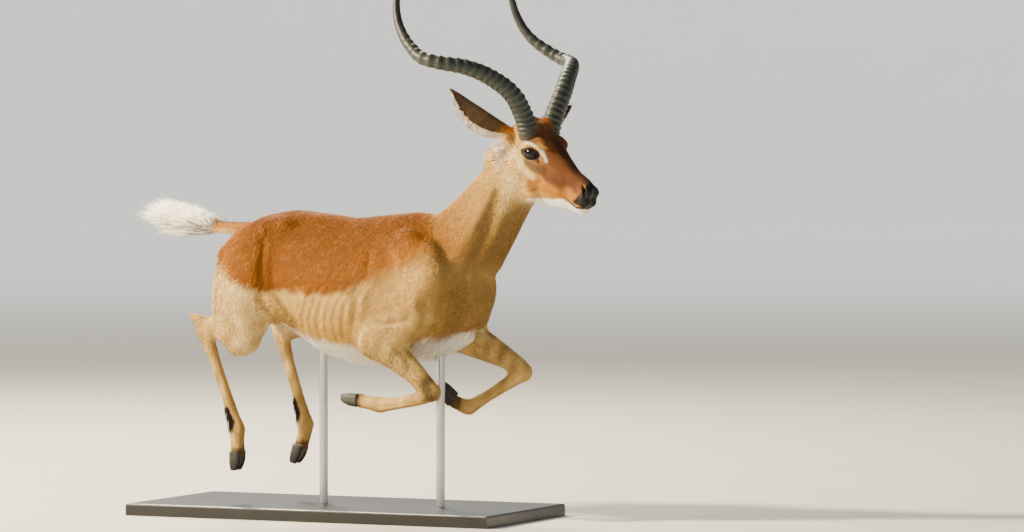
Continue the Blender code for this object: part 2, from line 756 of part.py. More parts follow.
# ---------------------------------------------------------------- the animal's body
def build_flesh(group):
    matrix, forward, left, up = head_frame()
    bm = bmesh.new()
    egg_loft(bm, TRUNK, Matrix.Identity(4), 28)
    limb(bm, NECK, 24)
    limb(bm, TAIL, 16)
    egg_loft(bm, HEAD, matrix, 24)
    for rows in LEGS.values():
        limb(bm, rows, 18)
    for row in FORMS:
        form(bm, *row)
    axes = [Vector([matrix[row][column] for row in range(3)]) for column in range(3)]
    for centre, radii in HEAD_FORMS:
        for sign in (-1.0, 1.0):
            place = matrix @ Vector((centre[0], centre[1] * sign, centre[2]))
            ellipsoid(bm, place, axes, radii)
    for centre, radii in HEAD_MIDLINE_FORMS:
        ellipsoid(bm, matrix @ Vector(centre), axes, radii)
    flesh = object_from_bmesh("flesh", bm, group)
    remesh = flesh.modifiers.new("one skin", "REMESH")
    remesh.mode = "VOXEL"
    remesh.voxel_size = VOXEL
    soften = flesh.modifiers.new("soften", "SMOOTH")
    soften.factor = 0.5
    soften.iterations = SMOOTH_STEPS
    apply_modifiers(flesh)
    decimate(flesh, FIRST_TRIANGLES)
    return flesh


def part_flesh(flesh, group, scratch):
    for cutter in build_cutters(FIRST_GAP, scratch):
        boolean(flesh, cutter)
        remove(cutter)
    pieces = loose_parts(flesh, group)
    pieces.sort(key=volume, reverse=True)
    named = {}
    for name, (seed, target) in NODES.items():
        named[name] = next(piece for piece in pieces if contains(piece, seed))
    for piece in pieces:
        if piece not in named.values():
            print("dropped a crumb of", round(volume(piece) * 1e9), "mm3")
            remove(piece)
    cutters = build_cutters(PART_GAP, scratch)
    for name, item in named.items():
        decimate(item, NODES[name][1])
        # the exact solver can lose a whole piece at these hair-thin cuts, where the other holds
        for cutter in cutters:
            boolean(item, cutter, solver="MANIFOLD")
        named[name] = largest_piece(item, group)
    for cutter in cutters:
        remove(cutter)
    return named


# ---------------------------------------------------------------- horns
def smooth_path(points, count):
    # points spaced evenly along a Catmull-Rom curve through the given points
    dense = []
    last = len(points) - 1
    for index in range(last):
        p0 = points[max(index - 1, 0)]
        p1 = points[index]
        p2 = points[index + 1]
        p3 = points[min(index + 2, last)]
        for step in range(12):
            t = step / 12.0
            dense.append(0.5 * ((2.0 * p1) + (p2 - p0) * t + (2.0 * p0 - 5.0 * p1 + 4.0 * p2 - p3) * t * t
                                + (3.0 * p1 - p0 - 3.0 * p2 + p3) * t * t * t))
    dense.append(points[last])
    lengths = [0.0]
    for first, second in zip(dense, dense[1:]):
        lengths.append(lengths[-1] + (second - first).length)
    path = []
    index = 0
    for step in range(count):
        want = lengths[-1] * step / (count - 1)
        while index < len(lengths) - 2 and lengths[index + 1] < want:
            index += 1
        span = lengths[index + 1] - lengths[index]
        share = (want - lengths[index]) / span
        path.append(dense[index].lerp(dense[index + 1], share))
    return path, lengths[-1]


def horn_radius(share):
    # thick for the first half, then tapering to the point
    taper = 1.0 - share ** HORN_TAPER
    return HORN_TIP_RADIUS + (HORN_BASE_RADIUS - HORN_TIP_RADIUS) * taper


def build_horn(sign, group):
    matrix, forward, left, up = head_frame()
    base = matrix @ Vector((HORN_BASE[0], HORN_BASE[1] * sign, HORN_BASE[2]))
    outward = left * sign
    points = [base + outward * row[0] - forward * row[1] + up * row[2] for row in HORN_PATH]
    path, length = smooth_path(points, HORN_RINGS)
    frames = path_frames(path, forward)
    bm = bmesh.new()
    rings = []
    for index, (point, along, across, rise) in enumerate(frames):
        share = index / (HORN_RINGS - 1)
        ringed = index % 2 == 1 and index > 1 and share < HORN_RINGED_SHARE
        ridge = HORN_RIDGE if ringed else 0.0
        radius = horn_radius(share) + ridge
        ring = []
        for step in range(HORN_SIDES):
            angle = 2.0 * math.pi * step / HORN_SIDES
            offset = across * math.cos(angle) * HORN_WIDE + rise * math.sin(angle) * HORN_DEEP
            ring.append(bm.verts.new(point + offset * radius))
        rings.append(ring)
    skin_rings(bm, rings)
    return object_from_bmesh("horn", bm, group)


# ---------------------------------------------------------------- ears
def build_ear(side_name, group):
    matrix, forward, left, up = head_frame()
    sign = 1.0 if side_name == "left" else -1.0
    root = matrix @ Vector(EAR_ROOT[side_name])
    reach = EAR_REACH[side_name]
    axis = left * sign * reach[0] - forward * reach[1] + up * reach[2]
    length = axis.length
    along = axis.normalized()
    opening = Vector(EAR_OPEN[side_name])
    opening = (opening - along * opening.dot(along)).normalized()
    across = along.cross(opening)
    bm = bmesh.new()
    rings = []
    for share, radius, wall in EAR_SECTIONS:
        bow = EAR_BOW * math.sin(share * math.pi)
        centre = root + along * (share * length) + opening * bow
        outer = []
        inner = []
        for step in range(EAR_ARC_STEPS + 1):
            place = 2.0 * step / EAR_ARC_STEPS - 1.0
            angle = max(-1.0, min(1.0, place / EAR_FOLD_SHARE)) * 0.5 * math.pi
            rise = max(0.0, abs(place) - EAR_FOLD_SHARE) / (1.0 - EAR_FOLD_SHARE) * wall
            direction = across * math.sin(angle) - opening * math.cos(angle)
            edge = 1.0 - abs(place) ** 4
            thick = EAR_THICKNESS * (EAR_EDGE_THIN + (1.0 - EAR_EDGE_THIN) * edge)
            thick = min(thick * (1.0 - EAR_TIP_THIN * share), radius * EAR_MOST_THICK)
            outer.append(bm.verts.new(centre + direction * radius + opening * rise))
            inner.append(bm.verts.new(centre + direction * (radius - thick) + opening * rise))
        rings.append(outer + list(reversed(inner)))
    skin_rings(bm, rings)
    return object_from_bmesh("ear", bm, group)


# ---------------------------------------------------------------- hooves
def build_claw(foot, sign, group):
    place, toe, sole = FEET[foot]
    toe = Vector(toe).normalized()
    sole = Vector(sole)
    sole = (sole - toe * sole.dot(toe)).normalized()
    across = toe.cross(sole)
    centre = Vector(place) + across * sign * HOOF_SPREAD
    bm = bmesh.new()
    rings = []
    for along, half_width, front, back in HOOF_SECTIONS:
        ring = []
        for step in range(HOOF_SIDES):
            angle = 2.0 * math.pi * (step + 0.5) / HOOF_SIDES
            rise = math.sin(angle)
            # the wall is round in front and flat under the sole
            reach = front if rise > 0.0 else back
            height = rise * reach
            if rise < 0.0:
                height = max(rise * HOOF_SOLE_FLATNESS, -1.0) * back
            width = math.cos(angle) * half_width
            if rise < -0.5:
                width = math.copysign(half_width * HOOF_SOLE_SHARE, width)
            ring.append(bm.verts.new(centre + toe * along + across * width - sole * height))
        rings.append(ring)
    skin_rings(bm, rings)
    return object_from_bmesh("claw", bm, group)


# ---------------------------------------------------------------- eyes and stand
def build_ball(radius, centre, group, name, segments=12, rings=8):
    bm = bmesh.new()
    bmesh.ops.create_uvsphere(bm, u_segments=segments, v_segments=rings, radius=radius,
                              matrix=Matrix.Translation(centre))
    return object_from_bmesh(name, bm, group)


def build_rod(x_place, bottom, top, radius, group, name, segments=20):
    bm = bmesh.new()
    matrix = Matrix.Translation((x_place, 0.0, (bottom + top) * 0.5))
    bmesh.ops.create_cone(bm, cap_ends=True, segments=segments, radius1=radius, radius2=radius,
                          depth=top - bottom, matrix=matrix)
    return object_from_bmesh(name, bm, group)


def build_base(group):
    bm = bmesh.new()
    matrix = Matrix.Translation((0.0, 0.0, BASE_THICKNESS * 0.5)) @ Matrix.Diagonal(
        (BASE_LENGTH, BASE_WIDTH, BASE_THICKNESS, 1.0))
    bmesh.ops.create_cube(bm, size=1.0, matrix=matrix)
    top_edges = [edge for edge in bm.edges
                 if all(vertex.co.z > BASE_THICKNESS * 0.5 for vertex in edge.verts)]
    bmesh.ops.bevel(bm, geom=top_edges, offset=BASE_BEVEL, offset_type="OFFSET", segments=2,
                    profile=0.5, affect="EDGES", material=-1)
    return object_from_bmesh("stand_base", bm, group)


# ---------------------------------------------------------------- build
clear_scene()
body_group = make_collection("impala_leaping")
cutter_group = make_collection("cutters")
material = {name: make_material(name) for name in COLOURS}

flesh = build_flesh(body_group)
nodes = part_flesh(flesh, body_group, cutter_group)
matrix, forward, left, up = head_frame()

# horns and ears stand on the head, so each is cut to the head's own surface
head_cutter = swollen_copy(nodes["head"], FIT_GAP, cutter_group)
for side_name, sign in (("right", -1.0), ("left", 1.0)):
    for kind in ("horn", "ear"):
        if kind == "horn":
            item = build_horn(sign, body_group)
        else:
            item = build_ear(side_name, body_group)
        boolean(item, head_cutter)
        nodes["%s_%s" % (kind, side_name)] = largest_piece(item, body_group)
remove(head_cutter)

# eyeballs sit in sockets cut in the head
for side_name, sign in (("right", -1.0), ("left", 1.0)):
    place = matrix @ Vector((0.0, EYE_OUT * sign, 0.0))
    socket = build_ball(EYE_RADIUS + EYE_CLEARANCE, place, cutter_group, "cutter_socket")
    mark_cutter(socket)
    boolean(nodes["head"], socket)
    remove(socket)
    nodes["eye_%s" % side_name] = build_ball(EYE_RADIUS, place, body_group, "eye")

# two claws on each foot, cut to the end of the pastern
for foot in FEET:
    pastern_cutter = swollen_copy(nodes["%s_pastern" % foot], FIT_GAP, cutter_group)
    for side_name, sign in (("inner", 1.0), ("outer", -1.0)):
        claw = build_claw(foot, sign, body_group)
        boolean(claw, pastern_cutter)
        nodes["%s_hoof_%s" % (foot, side_name)] = largest_piece(claw, body_group)
    remove(pastern_cutter)

# stand: the rods rise from the base into holes in the breast and the belly
nodes["stand_base"] = build_base(body_group)
for name, x_place, body_z in (
    ("front", ROD_FRONT_X, ROD_FRONT_BODY_Z),
    ("rear", ROD_REAR_X, ROD_REAR_BODY_Z),
):
    top = body_z + ROD_DEPTH_IN_BODY
    hole = build_rod(x_place, body_z - HOLE_START_BELOW, top + FIT_GAP, ROD_RADIUS + FIT_GAP, cutter_group,
                     "cutter_hole")
    mark_cutter(hole)
    boolean(nodes["trunk"], hole)
    remove(hole)
    rod = build_rod(x_place, BASE_THICKNESS + FIT_GAP, top, ROD_RADIUS, body_group, "rod")
    nodes["stand_rod_%s" % name] = rod

finishes = {
    "tail": "coat_white",
    "stand_base": "stand_black",
}
for name, item in nodes.items():
    kind = finishes.get(name, "coat_rufous")
    if "horn" in name:
        kind = "horn"
    elif "hoof" in name:
        kind = "hoof"
    elif "eye" in name:
        kind = "eye"
    elif "rod" in name:
        kind = "stand_steel"
    elif "leg" in name:
        kind = "coat_fawn"
    finish(item, name, material[kind], body_group, smooth=name != "stand_base")

total = 0
for item in body_group.objects:
    count = triangles(item)
    total += count
    print("%-28s %6d triangles  %9.1f cm3" % (item.name, count, volume(item) * 1e6))
print("total", len(body_group.objects), "nodes", total, "triangles")
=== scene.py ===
# %% [markdown]
# # A leaping impala ram, dressed as a museum's life-size model
#
# The solids of the animal come packed as a fixed frame. This script gives them their looks: one
# hide over all the flesh, a short coat of solid tufts, ringed horns, wet eyes, cloven hooves and
# a black display stand. Read it cell by cell: a note says what a step stands for on the real
# animal, and the code below it makes that step and prints what it made.

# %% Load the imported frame
import bpy
import bmesh
import math
import numpy as np
from mathutils import Matrix, Vector


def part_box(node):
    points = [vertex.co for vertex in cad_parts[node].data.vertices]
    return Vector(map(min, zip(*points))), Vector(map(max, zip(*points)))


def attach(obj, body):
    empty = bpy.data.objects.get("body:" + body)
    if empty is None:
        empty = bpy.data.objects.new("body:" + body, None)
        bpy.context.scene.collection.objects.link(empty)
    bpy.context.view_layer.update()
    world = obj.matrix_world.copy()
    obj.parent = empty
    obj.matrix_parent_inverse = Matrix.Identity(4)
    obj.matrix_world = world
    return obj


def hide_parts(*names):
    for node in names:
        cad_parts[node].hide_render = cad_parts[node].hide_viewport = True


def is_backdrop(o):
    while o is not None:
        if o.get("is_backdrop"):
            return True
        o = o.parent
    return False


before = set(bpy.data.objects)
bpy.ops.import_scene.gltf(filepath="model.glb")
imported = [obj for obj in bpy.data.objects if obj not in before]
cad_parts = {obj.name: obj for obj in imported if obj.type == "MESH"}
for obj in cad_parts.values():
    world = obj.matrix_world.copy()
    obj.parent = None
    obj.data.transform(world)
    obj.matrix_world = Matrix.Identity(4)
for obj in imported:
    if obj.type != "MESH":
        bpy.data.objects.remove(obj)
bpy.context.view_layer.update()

# %% [markdown]
# ## Helpers for colour, nodes and lists of points
#
# Blender's sockets want linear light, but colours are easier to judge as the sRGB hex codes that
# paint charts use, so one function turns them. One more function adds a shader node with its
# settings and its links, which keeps each material down to a few lines that read like a recipe.

# %% Colour and node helpers
def linear(code):
    parts = [int(code[place:place + 2], 16) / 255.0 for place in (1, 3, 5)]
    return np.array([part / 12.92 if part <= 0.04045 else ((part + 0.055) / 1.055) ** 2.4 for part in parts])


def rgba(code):
    return (*linear(code), 1.0)


def add(tree, kind, links=None, **settings):
    node = tree.nodes.new(kind)
    for name, value in settings.items():
        setattr(node, name, value)
    for name, value in (links or {}).items():
        if isinstance(value, bpy.types.NodeSocket):
            tree.links.new(value, node.inputs[name])
        else:
            node.inputs[name].default_value = value
    return node


def new_material(name):
    material = bpy.data.materials.new(name)
    material.use_nodes = True
    material.node_tree.nodes.clear()
    return material, material.node_tree


def finish_material(material, sockets):
    # the last two nodes of every material here: its shader and the output
    shader = add(material.node_tree, "ShaderNodeBsdfPrincipled", sockets)
    add(material.node_tree, "ShaderNodeOutputMaterial", {"Surface": shader.outputs["BSDF"]})
    return material


# %% Helpers for the nodes that most materials share
def object_place(tree):
    return add(tree, "ShaderNodeTexCoord").outputs["Object"]


def attribute(tree, name, output="Fac"):
    return add(tree, "ShaderNodeAttribute", attribute_name=name).outputs[output]


def noise(tree, place, scale, detail):
    return add(tree, "ShaderNodeTexNoise", {"Vector": place, "Scale": scale, "Detail": detail}).outputs["Fac"]


def mixed(tree, kind, share, first, second):
    node = add(tree, "ShaderNodeMix", {"Factor": share, "A": first, "B": second}, data_type=kind)
    return node.outputs["Result"]


def spread(tree, value, low, high, value_low=0.0, value_high=1.0, curve="LINEAR"):
    # turns the range of values into the one from low to high
    node = add(tree, "ShaderNodeMapRange", {"Value": value, "From Min": value_low, "From Max": value_high,
                                            "To Min": low, "To Max": high}, interpolation_type=curve)
    return node.outputs["Result"]


def scaled(tree, colour, by):
    return add(tree, "ShaderNodeVectorMath", {0: colour, "Scale": by}, operation="SCALE").outputs["Vector"]


def relief(tree, height, strength, distance):
    node = add(tree, "ShaderNodeBump", {"Height": height, "Strength": strength, "Distance": distance})
    return node.outputs["Normal"]


def marked_material(name, roughness, gloss):
    # a surface that wears the painted markings and no texture of its own
    material, tree = new_material(name)
    return finish_material(material, {"Base Color": attribute(tree, "markings", "Color"),
                                      "Roughness": roughness, "Specular IOR Level": gloss})


# %% Helpers for lists of points
def read(collection, name, width):
    values = np.empty(len(collection) * width, np.float32)
    collection.foreach_get(name, values)
    return values.reshape(-1, width).astype(float) if width > 1 else values.astype(float)


def unit(vectors):
    return vectors / np.maximum(np.linalg.norm(vectors, axis=-1, keepdims=True), 1e-9)


def smooth_step(low, high, value):
    share = np.clip((value - low) / (high - low), 0.0, 1.0)
    return share * share * (3.0 - 2.0 * share)


def bump(value, width):
    return np.exp(-(value / width) ** 2)


def wave_noise(points, size, seed):
    # soft noise from about -1 to 1: a few sine waves in seeded directions, some `size` metres long
    seeded = np.random.default_rng(seed)
    total = np.zeros(len(points))
    for wave in range(6):
        direction = unit(seeded.normal(size=3)) * (2.0 * math.pi / size) * seeded.uniform(0.7, 1.6)
        total += np.sin(points @ direction + seeded.uniform(0.0, 6.28))
    return total / 3.0


# %% Helpers for meshes and objects
def link_object(name, data):
    piece = bpy.data.objects.new(name, data)
    bpy.context.scene.collection.objects.link(piece)
    return piece


def new_object(name, mesh, material):
    mesh.materials.append(material)
    return link_object(name, mesh)


def applied_mesh(piece):
    # the mesh that an object's modifiers or curve settings make; the object itself goes
    graph = bpy.context.evaluated_depsgraph_get()
    mesh = bpy.data.meshes.new_from_object(piece.evaluated_get(graph))
    bpy.data.objects.remove(piece)
    return mesh


def mesh_of(bm, name):
    mesh = bpy.data.meshes.new(name)
    bm.to_mesh(mesh)
    bm.free()
    return mesh


def shade_smooth(mesh):
    mesh.polygons.foreach_set("use_smooth", np.ones(len(mesh.polygons), bool))
    return mesh


def place_on_frame(piece, nodes=()):
    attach(piece, "root")
    if nodes:
        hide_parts(*nodes)


# %% [markdown]
# ## The studio
#
# Such a model shows best in a plain, pale room, whose floor sweeps up all round into a softly
# glowing wall, so that no line crosses behind the animal. The camera stands 14 m off with a long
# lens, a little ahead of the animal's right side and two degrees above its chest, so that the
# shape shows with hardly any perspective. The main light is a warm one from the rear and above,
# as low sun would be: it rims the back, the tail and the horns, and models the muscles.

# %% Floor, lights and camera
CAMERA_AZIMUTH = math.radians(25.0)
CAMERA_RISE = math.radians(2.0)
CAMERA_DISTANCE = 14.0
FRAME_WIDTH = 2.56
SENSOR_WIDTH = 36.0
AIM_ACROSS = 0.4175
AIM_HEIGHT = 0.625
FLOOR_RADIUS = 24.0
SWEEP_RADIUS = 7.0
SWEEP_STEPS = 16
SPIN_STEPS = 96
GLOW_FROM = 4.0
GLOW_TO = 17.0
GLOW = 0.80
LIGHT_AIM = Vector((0.1, 0.0, 0.6))
LIGHTS = {
    # name: (place, diameter, watts, colour)
    "key_from_the_rear": ((-5.0, -3.2, 4.4), 0.8, 2100.0, "#FFE9C4"),
    "fill_from_the_camera_side": ((3.5, -6.5, 2.4), 5.0, 50.0, "#F1F4FF"),
    "rim_from_the_far_side": ((-2.6, 3.2, 4.0), 1.5, 420.0, "#FFF3DF"),
}
ROOM_COLOUR = "#E6EAEC"
ROOM_STRENGTH = 0.25

to_right = Vector((math.cos(CAMERA_AZIMUTH), math.sin(CAMERA_AZIMUTH), 0.0))
to_camera = Vector((math.sin(CAMERA_AZIMUTH) * math.cos(CAMERA_RISE),
                    -math.cos(CAMERA_AZIMUTH) * math.cos(CAMERA_RISE), math.sin(CAMERA_RISE)))


def turn_to(piece, aim):
    piece.rotation_euler = (aim - piece.location).to_track_quat("-Z", "Y").to_euler()


def place_camera():
    data = bpy.data.cameras.new("studio_camera")
    data.sensor_width = SENSOR_WIDTH
    data.lens = SENSOR_WIDTH * CAMERA_DISTANCE / FRAME_WIDTH
    data.clip_end = 200.0
    camera = link_object("studio_camera", data)
    aim = to_right * AIM_ACROSS + Vector((0.0, 0.0, AIM_HEIGHT))
    camera.location = aim + to_camera * CAMERA_DISTANCE
    turn_to(camera, aim)
    bpy.context.scene.camera = camera


def area_light(name, place, size, power, colour):
    data = bpy.data.lights.new(name, "AREA")
    data.shape = "DISK"
    data.size = size
    data.energy = power
    data.color = linear(colour)
    light = link_object(name, data)
    light.location = place
    turn_to(light, LIGHT_AIM)


def sweep_mesh():
    # the profile of a dish, from its middle over the floor and up the curve to the wall, spun once round
    bm = bmesh.new()
    line = [(0.0, 0.0, 0.0), (FLOOR_RADIUS, 0.0, 0.0)]
    for step in range(1, SWEEP_STEPS + 1):
        turn = math.pi / 2.0 * step / SWEEP_STEPS
        height = SWEEP_RADIUS * (1.0 - math.cos(turn))
        line.append((FLOOR_RADIUS + SWEEP_RADIUS * math.sin(turn), 0.0, height))
    corners = [bm.verts.new(place) for place in line]
    sides = [bm.edges.new(pair) for pair in zip(corners, corners[1:])]
    bmesh.ops.spin(bm, geom=corners + sides, cent=(0.0, 0.0, 0.0), axis=(0.0, 0.0, 1.0),
                   angle=2.0 * math.pi, steps=SPIN_STEPS, use_merge=True)
    bmesh.ops.remove_doubles(bm, verts=bm.verts, dist=0.001)
    bmesh.ops.recalc_face_normals(bm, faces=bm.faces)
    return shade_smooth(mesh_of(bm, "floor"))


def studio_paint():
    # matt paint with a faint grain, which glows more and more toward the wall
    material, tree = new_material("pale_studio_paint")
    place = object_place(tree)
    tone = mixed(tree, "RGBA", noise(tree, place, 3.0, 4.0), rgba("#DAD9D2"), rgba("#E4E3DD"))
    reach = add(tree, "ShaderNodeVectorMath", {0: place}, operation="LENGTH").outputs["Value"]
    glow = spread(tree, reach, 0.0, GLOW, GLOW_FROM, GLOW_TO, "SMOOTHSTEP")
    return finish_material(material, {"Base Color": tone, "Roughness": 0.75,
                                      "Emission Color": rgba("#F2F2EF"), "Emission Strength": glow})


def build_studio():
    new_object("floor", sweep_mesh(), studio_paint())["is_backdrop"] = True
    for name, (place, size, power, colour) in LIGHTS.items():
        area_light(name, place, size, power, colour)
    world = bpy.data.worlds.new("pale_room")
    world.use_nodes = True
    background = world.node_tree.nodes["Background"]
    background.inputs["Color"].default_value = rgba(ROOM_COLOUR)
    background.inputs["Strength"].default_value = ROOM_STRENGTH
    bpy.context.scene.world = world


place_camera()
build_studio()
print("camera", CAMERA_DISTANCE, "m away; the floor sweeps up from", FLOOR_RADIUS, "m outwards")

# %% [markdown]
# ## Landmarks
#
# Everything below is placed from the frame: the eyes give the head its own directions (forward
# along the nose, left, and up through the crown), and the skeleton is a handful of bones with
# the half thickness of the flesh round them. Hair grows away from the nose, back over the head,
# down the neck and the trunk and then down each leg, so each bone also tells which way the coat
# lies.

# %% The head's own directions
HEAD_YAW = math.radians(-15.0)
HEAD_PITCH = math.radians(28.7)


def centre_of(node):
    low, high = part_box(node)
    return (np.array(low) + np.array(high)) / 2.0


SIDES = {"right": -1.0, "left": 1.0}
EYES = {side: centre_of("eye_" + side) for side in SIDES}
EYE_SIZE = (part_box("eye_right")[1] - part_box("eye_right")[0]).z / 2.0
HEAD = (EYES["right"] + EYES["left"]) / 2.0
LEVEL = np.array((math.cos(HEAD_YAW), math.sin(HEAD_YAW), 0.0))
UPRIGHT = np.array((0.0, 0.0, 1.0))
FACE_FORWARD = LEVEL * math.cos(HEAD_PITCH) - UPRIGHT * math.sin(HEAD_PITCH)
FACE_UP = LEVEL * math.sin(HEAD_PITCH) + UPRIGHT * math.cos(HEAD_PITCH)
FACE_LEFT = np.cross(UPRIGHT, LEVEL)
HEAD_AXES = np.array((FACE_FORWARD, FACE_LEFT, FACE_UP))


def to_head(points):
    return (points - HEAD) @ HEAD_AXES.T


def from_head(forward, left, up):
    return HEAD + FACE_FORWARD * forward + FACE_LEFT * left + FACE_UP * up


print("eyes", EYES["right"].round(3), EYES["left"].round(3), "radius", round(EYE_SIZE, 4))

# %% The bones, each a row of points (x, y, z, half thickness) in the direction of the coat
EAR_ROOT = {"right": (-0.074, -0.038, 0.009), "left": (-0.070, 0.036, 0.010)}
EAR_REACH = {"right": (0.070, 0.143, 0.113), "left": (0.171, 0.022, 0.072)}


def ear_bone(side):
    root = from_head(*EAR_ROOT[side])
    outward, back, up = EAR_REACH[side]
    tip = root + FACE_LEFT * SIDES[side] * outward - LEVEL * back + UPRIGHT * up
    return [(*root, 0.018), (*tip, 0.006)]


BONES = {
    "face": [(*from_head(0.190, 0.0, -0.035), 0.026), (*from_head(0.100, 0.0, -0.035), 0.045),
             (*from_head(0.000, 0.0, -0.030), 0.058), (*from_head(-0.085, 0.0, -0.010), 0.052)],
    "ear_right": ear_bone("right"),
    "ear_left": ear_bone("left"),
    "neck": [(0.488, -0.022, 0.856, 0.045), (0.460, -0.016, 0.825, 0.056), (0.397, -0.003, 0.752, 0.074),
             (0.330, 0.0, 0.660, 0.090)],
    "trunk": [(0.330, 0.0, 0.600, 0.100), (0.200, 0.0, 0.580, 0.140), (0.035, 0.0, 0.560, 0.150),
              (-0.130, 0.0, 0.600, 0.130), (-0.260, 0.0, 0.640, 0.080)],
    "tail": [(-0.256, 0.0, 0.710, 0.023), (-0.300, 0.0, 0.716, 0.017), (-0.400, 0.0, 0.720, 0.015),
             (-0.480, 0.0, 0.742, 0.008)],
    "foreleg_right": [(0.235, -0.085, 0.660, 0.050), (0.262, -0.098, 0.560, 0.055),
                      (0.195, -0.112, 0.478, 0.045), (0.130, -0.120, 0.446, 0.036),
                      (0.212, -0.117, 0.399, 0.030), (0.288, -0.109, 0.323, 0.022)],
    "foreshin_right": [(0.288, -0.109, 0.323, 0.022), (0.235, -0.087, 0.300, 0.016),
                       (0.145, -0.051, 0.284, 0.016), (0.118, -0.040, 0.2825, 0.020),
                       (0.050, -0.034, 0.291, 0.018)],
    "foreleg_left": [(0.240, 0.085, 0.660, 0.050), (0.290, 0.100, 0.560, 0.052),
                     (0.262, 0.102, 0.465, 0.042), (0.354, 0.101, 0.420, 0.032),
                     (0.441, 0.100, 0.370, 0.022)],
    "foreshin_left": [(0.441, 0.100, 0.370, 0.022), (0.400, 0.097, 0.334, 0.016),
                      (0.322, 0.092, 0.286, 0.016), (0.300, 0.090, 0.274, 0.020),
                      (0.261, 0.062, 0.297, 0.018)],
    "thigh_right": [(-0.190, -0.060, 0.700, 0.070), (-0.232, -0.080, 0.580, 0.075),
                    (-0.241, -0.094, 0.490, 0.065), (-0.235, -0.102, 0.445, 0.042)],
    "shank_right": [(-0.235, -0.098, 0.452, 0.038), (-0.290, -0.090, 0.464, 0.031),
                    (-0.366, -0.080, 0.470, 0.022)],
    "hindshin_right": [(-0.366, -0.080, 0.480, 0.019), (-0.342, -0.079, 0.425, 0.017),
                       (-0.298, -0.074, 0.305, 0.014), (-0.268, -0.070, 0.214, 0.020),
                       (-0.265, -0.070, 0.152, 0.018)],
    "thigh_left": [(-0.190, 0.060, 0.700, 0.070), (-0.150, 0.075, 0.610, 0.075),
                   (-0.085, 0.094, 0.545, 0.055), (-0.050, 0.101, 0.515, 0.042)],
    "shank_left": [(-0.050, 0.101, 0.515, 0.038), (-0.150, 0.083, 0.474, 0.028),
                   (-0.220, 0.071, 0.455, 0.021)],
    "hindshin_left": [(-0.226, 0.070, 0.466, 0.019), (-0.206, 0.070, 0.415, 0.017),
                      (-0.170, 0.070, 0.300, 0.014), (-0.146, 0.070, 0.221, 0.020),
                      (-0.160, 0.070, 0.155, 0.018)],
}
PARTS = list(BONES)


def bone_reach(points, rows):
    # the nearest place on a row of bones: how far outside its flesh, and which way the bone runs
    best = np.full(len(points), 9.0)
    way = np.zeros((len(points), 3))
    for row, following in zip(rows, rows[1:]):
        start = np.array(row[:3])
        span = np.array(following[:3]) - start
        share = np.clip((points - start) @ span / (span @ span), 0.0, 1.0)
        gap = np.linalg.norm(points - start - share[:, None] * span, axis=1)
        gap -= row[3] + (following[3] - row[3]) * share
        nearer = gap < best
        best[nearer] = gap[nearer]
        way[nearer] = unit(span)
    return best, way


BLEND_DEPTH = 0.010


def part_shares(points):
    # how much each point belongs to each part, and the bones' directions there
    gaps = []
    ways = []
    for part in PARTS:
        gap, way = bone_reach(points, BONES[part])
        gaps.append(gap)
        ways.append(way)
    gaps = np.array(gaps)
    shares = np.exp(-(gaps - gaps.min(0)) / BLEND_DEPTH)
    shares /= shares.sum(0)
    return dict(zip(PARTS, shares)), dict(zip(PARTS, ways))


print(len(PARTS), "rows of bones")

# %% [markdown]
# ## The hide
#
# A real hide is one sheet from the lips to the coronets of the hooves, so no seam may show where
# the solids part at the neck or the knees. The copies of all the nodes of flesh are swollen a
# hair's breadth until they meet, joined by a voxel remesh, and smoothed. Shrink-wrapping a new
# cage over the solids would also close the gaps, but it bridges the elbows and the ears. The
# eyeballs and hooves go into the join as well, so that the hide closes over their sockets. Two
# balls fill the places under the horns, and a row of balls makes the fleshy dock of the tail,
# whose long hair comes later. In front of the dock the croup is drawn down into a rounder slope.

# %% Join the flesh into one closed form
FLESH = ["trunk", "neck", "head", "ear_right", "ear_left",
         "foreleg_right_forearm", "foreleg_right_cannon", "foreleg_right_pastern",
         "foreleg_left_forearm", "foreleg_left_cannon", "foreleg_left_pastern",
         "hindleg_right_thigh", "hindleg_right_shank", "hindleg_right_cannon", "hindleg_right_pastern",
         "hindleg_left_shank", "hindleg_left_cannon", "hindleg_left_pastern"]
FEET = [f"{leg}_{side}" for leg in ("foreleg", "hindleg") for side in ("right", "left")]
HOOVES = [f"{foot}_hoof_{claw}" for foot in FEET for claw in ("inner", "outer")]
JOIN_SWELL = 0.0005
HIDE_VOXEL = 0.0025
HORN_BASE = (-0.040, 0.043, 0.052)
HORN_BASE_RADIUS = 0.024
HORN_PLUG_SINK = 0.012
DOCK_STEPS = 12
FINE_EYE = (0.0, 0.0450, 0.0)
FINE_ROUND_EYE = 0.0300
FINE_FROM = 0.1350
FINE_HALF_WIDTH = 0.06
FINE_HALF_HEIGHT = 0.09
CROUP_X = (-0.345, -0.298, -0.262, -0.229, -0.195, -0.150)
CROUP_Z = (0.670, 0.7095, 0.7295, 0.747, 0.764, 0.800)
CROUP_ROUND = 2.5
CROUP_SOFT = 0.015


def merged_copy(node, swell):
    # a CAD node's mesh is loose triangles, so a copy is merged before its points move together
    bm = bmesh.new()
    bm.from_mesh(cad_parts[node].data)
    bmesh.ops.remove_doubles(bm, verts=bm.verts, dist=1e-5)
    bm.normal_update()
    for vert in bm.verts:
        vert.co += vert.normal * swell
    return mesh_of(bm, node + "_copy")


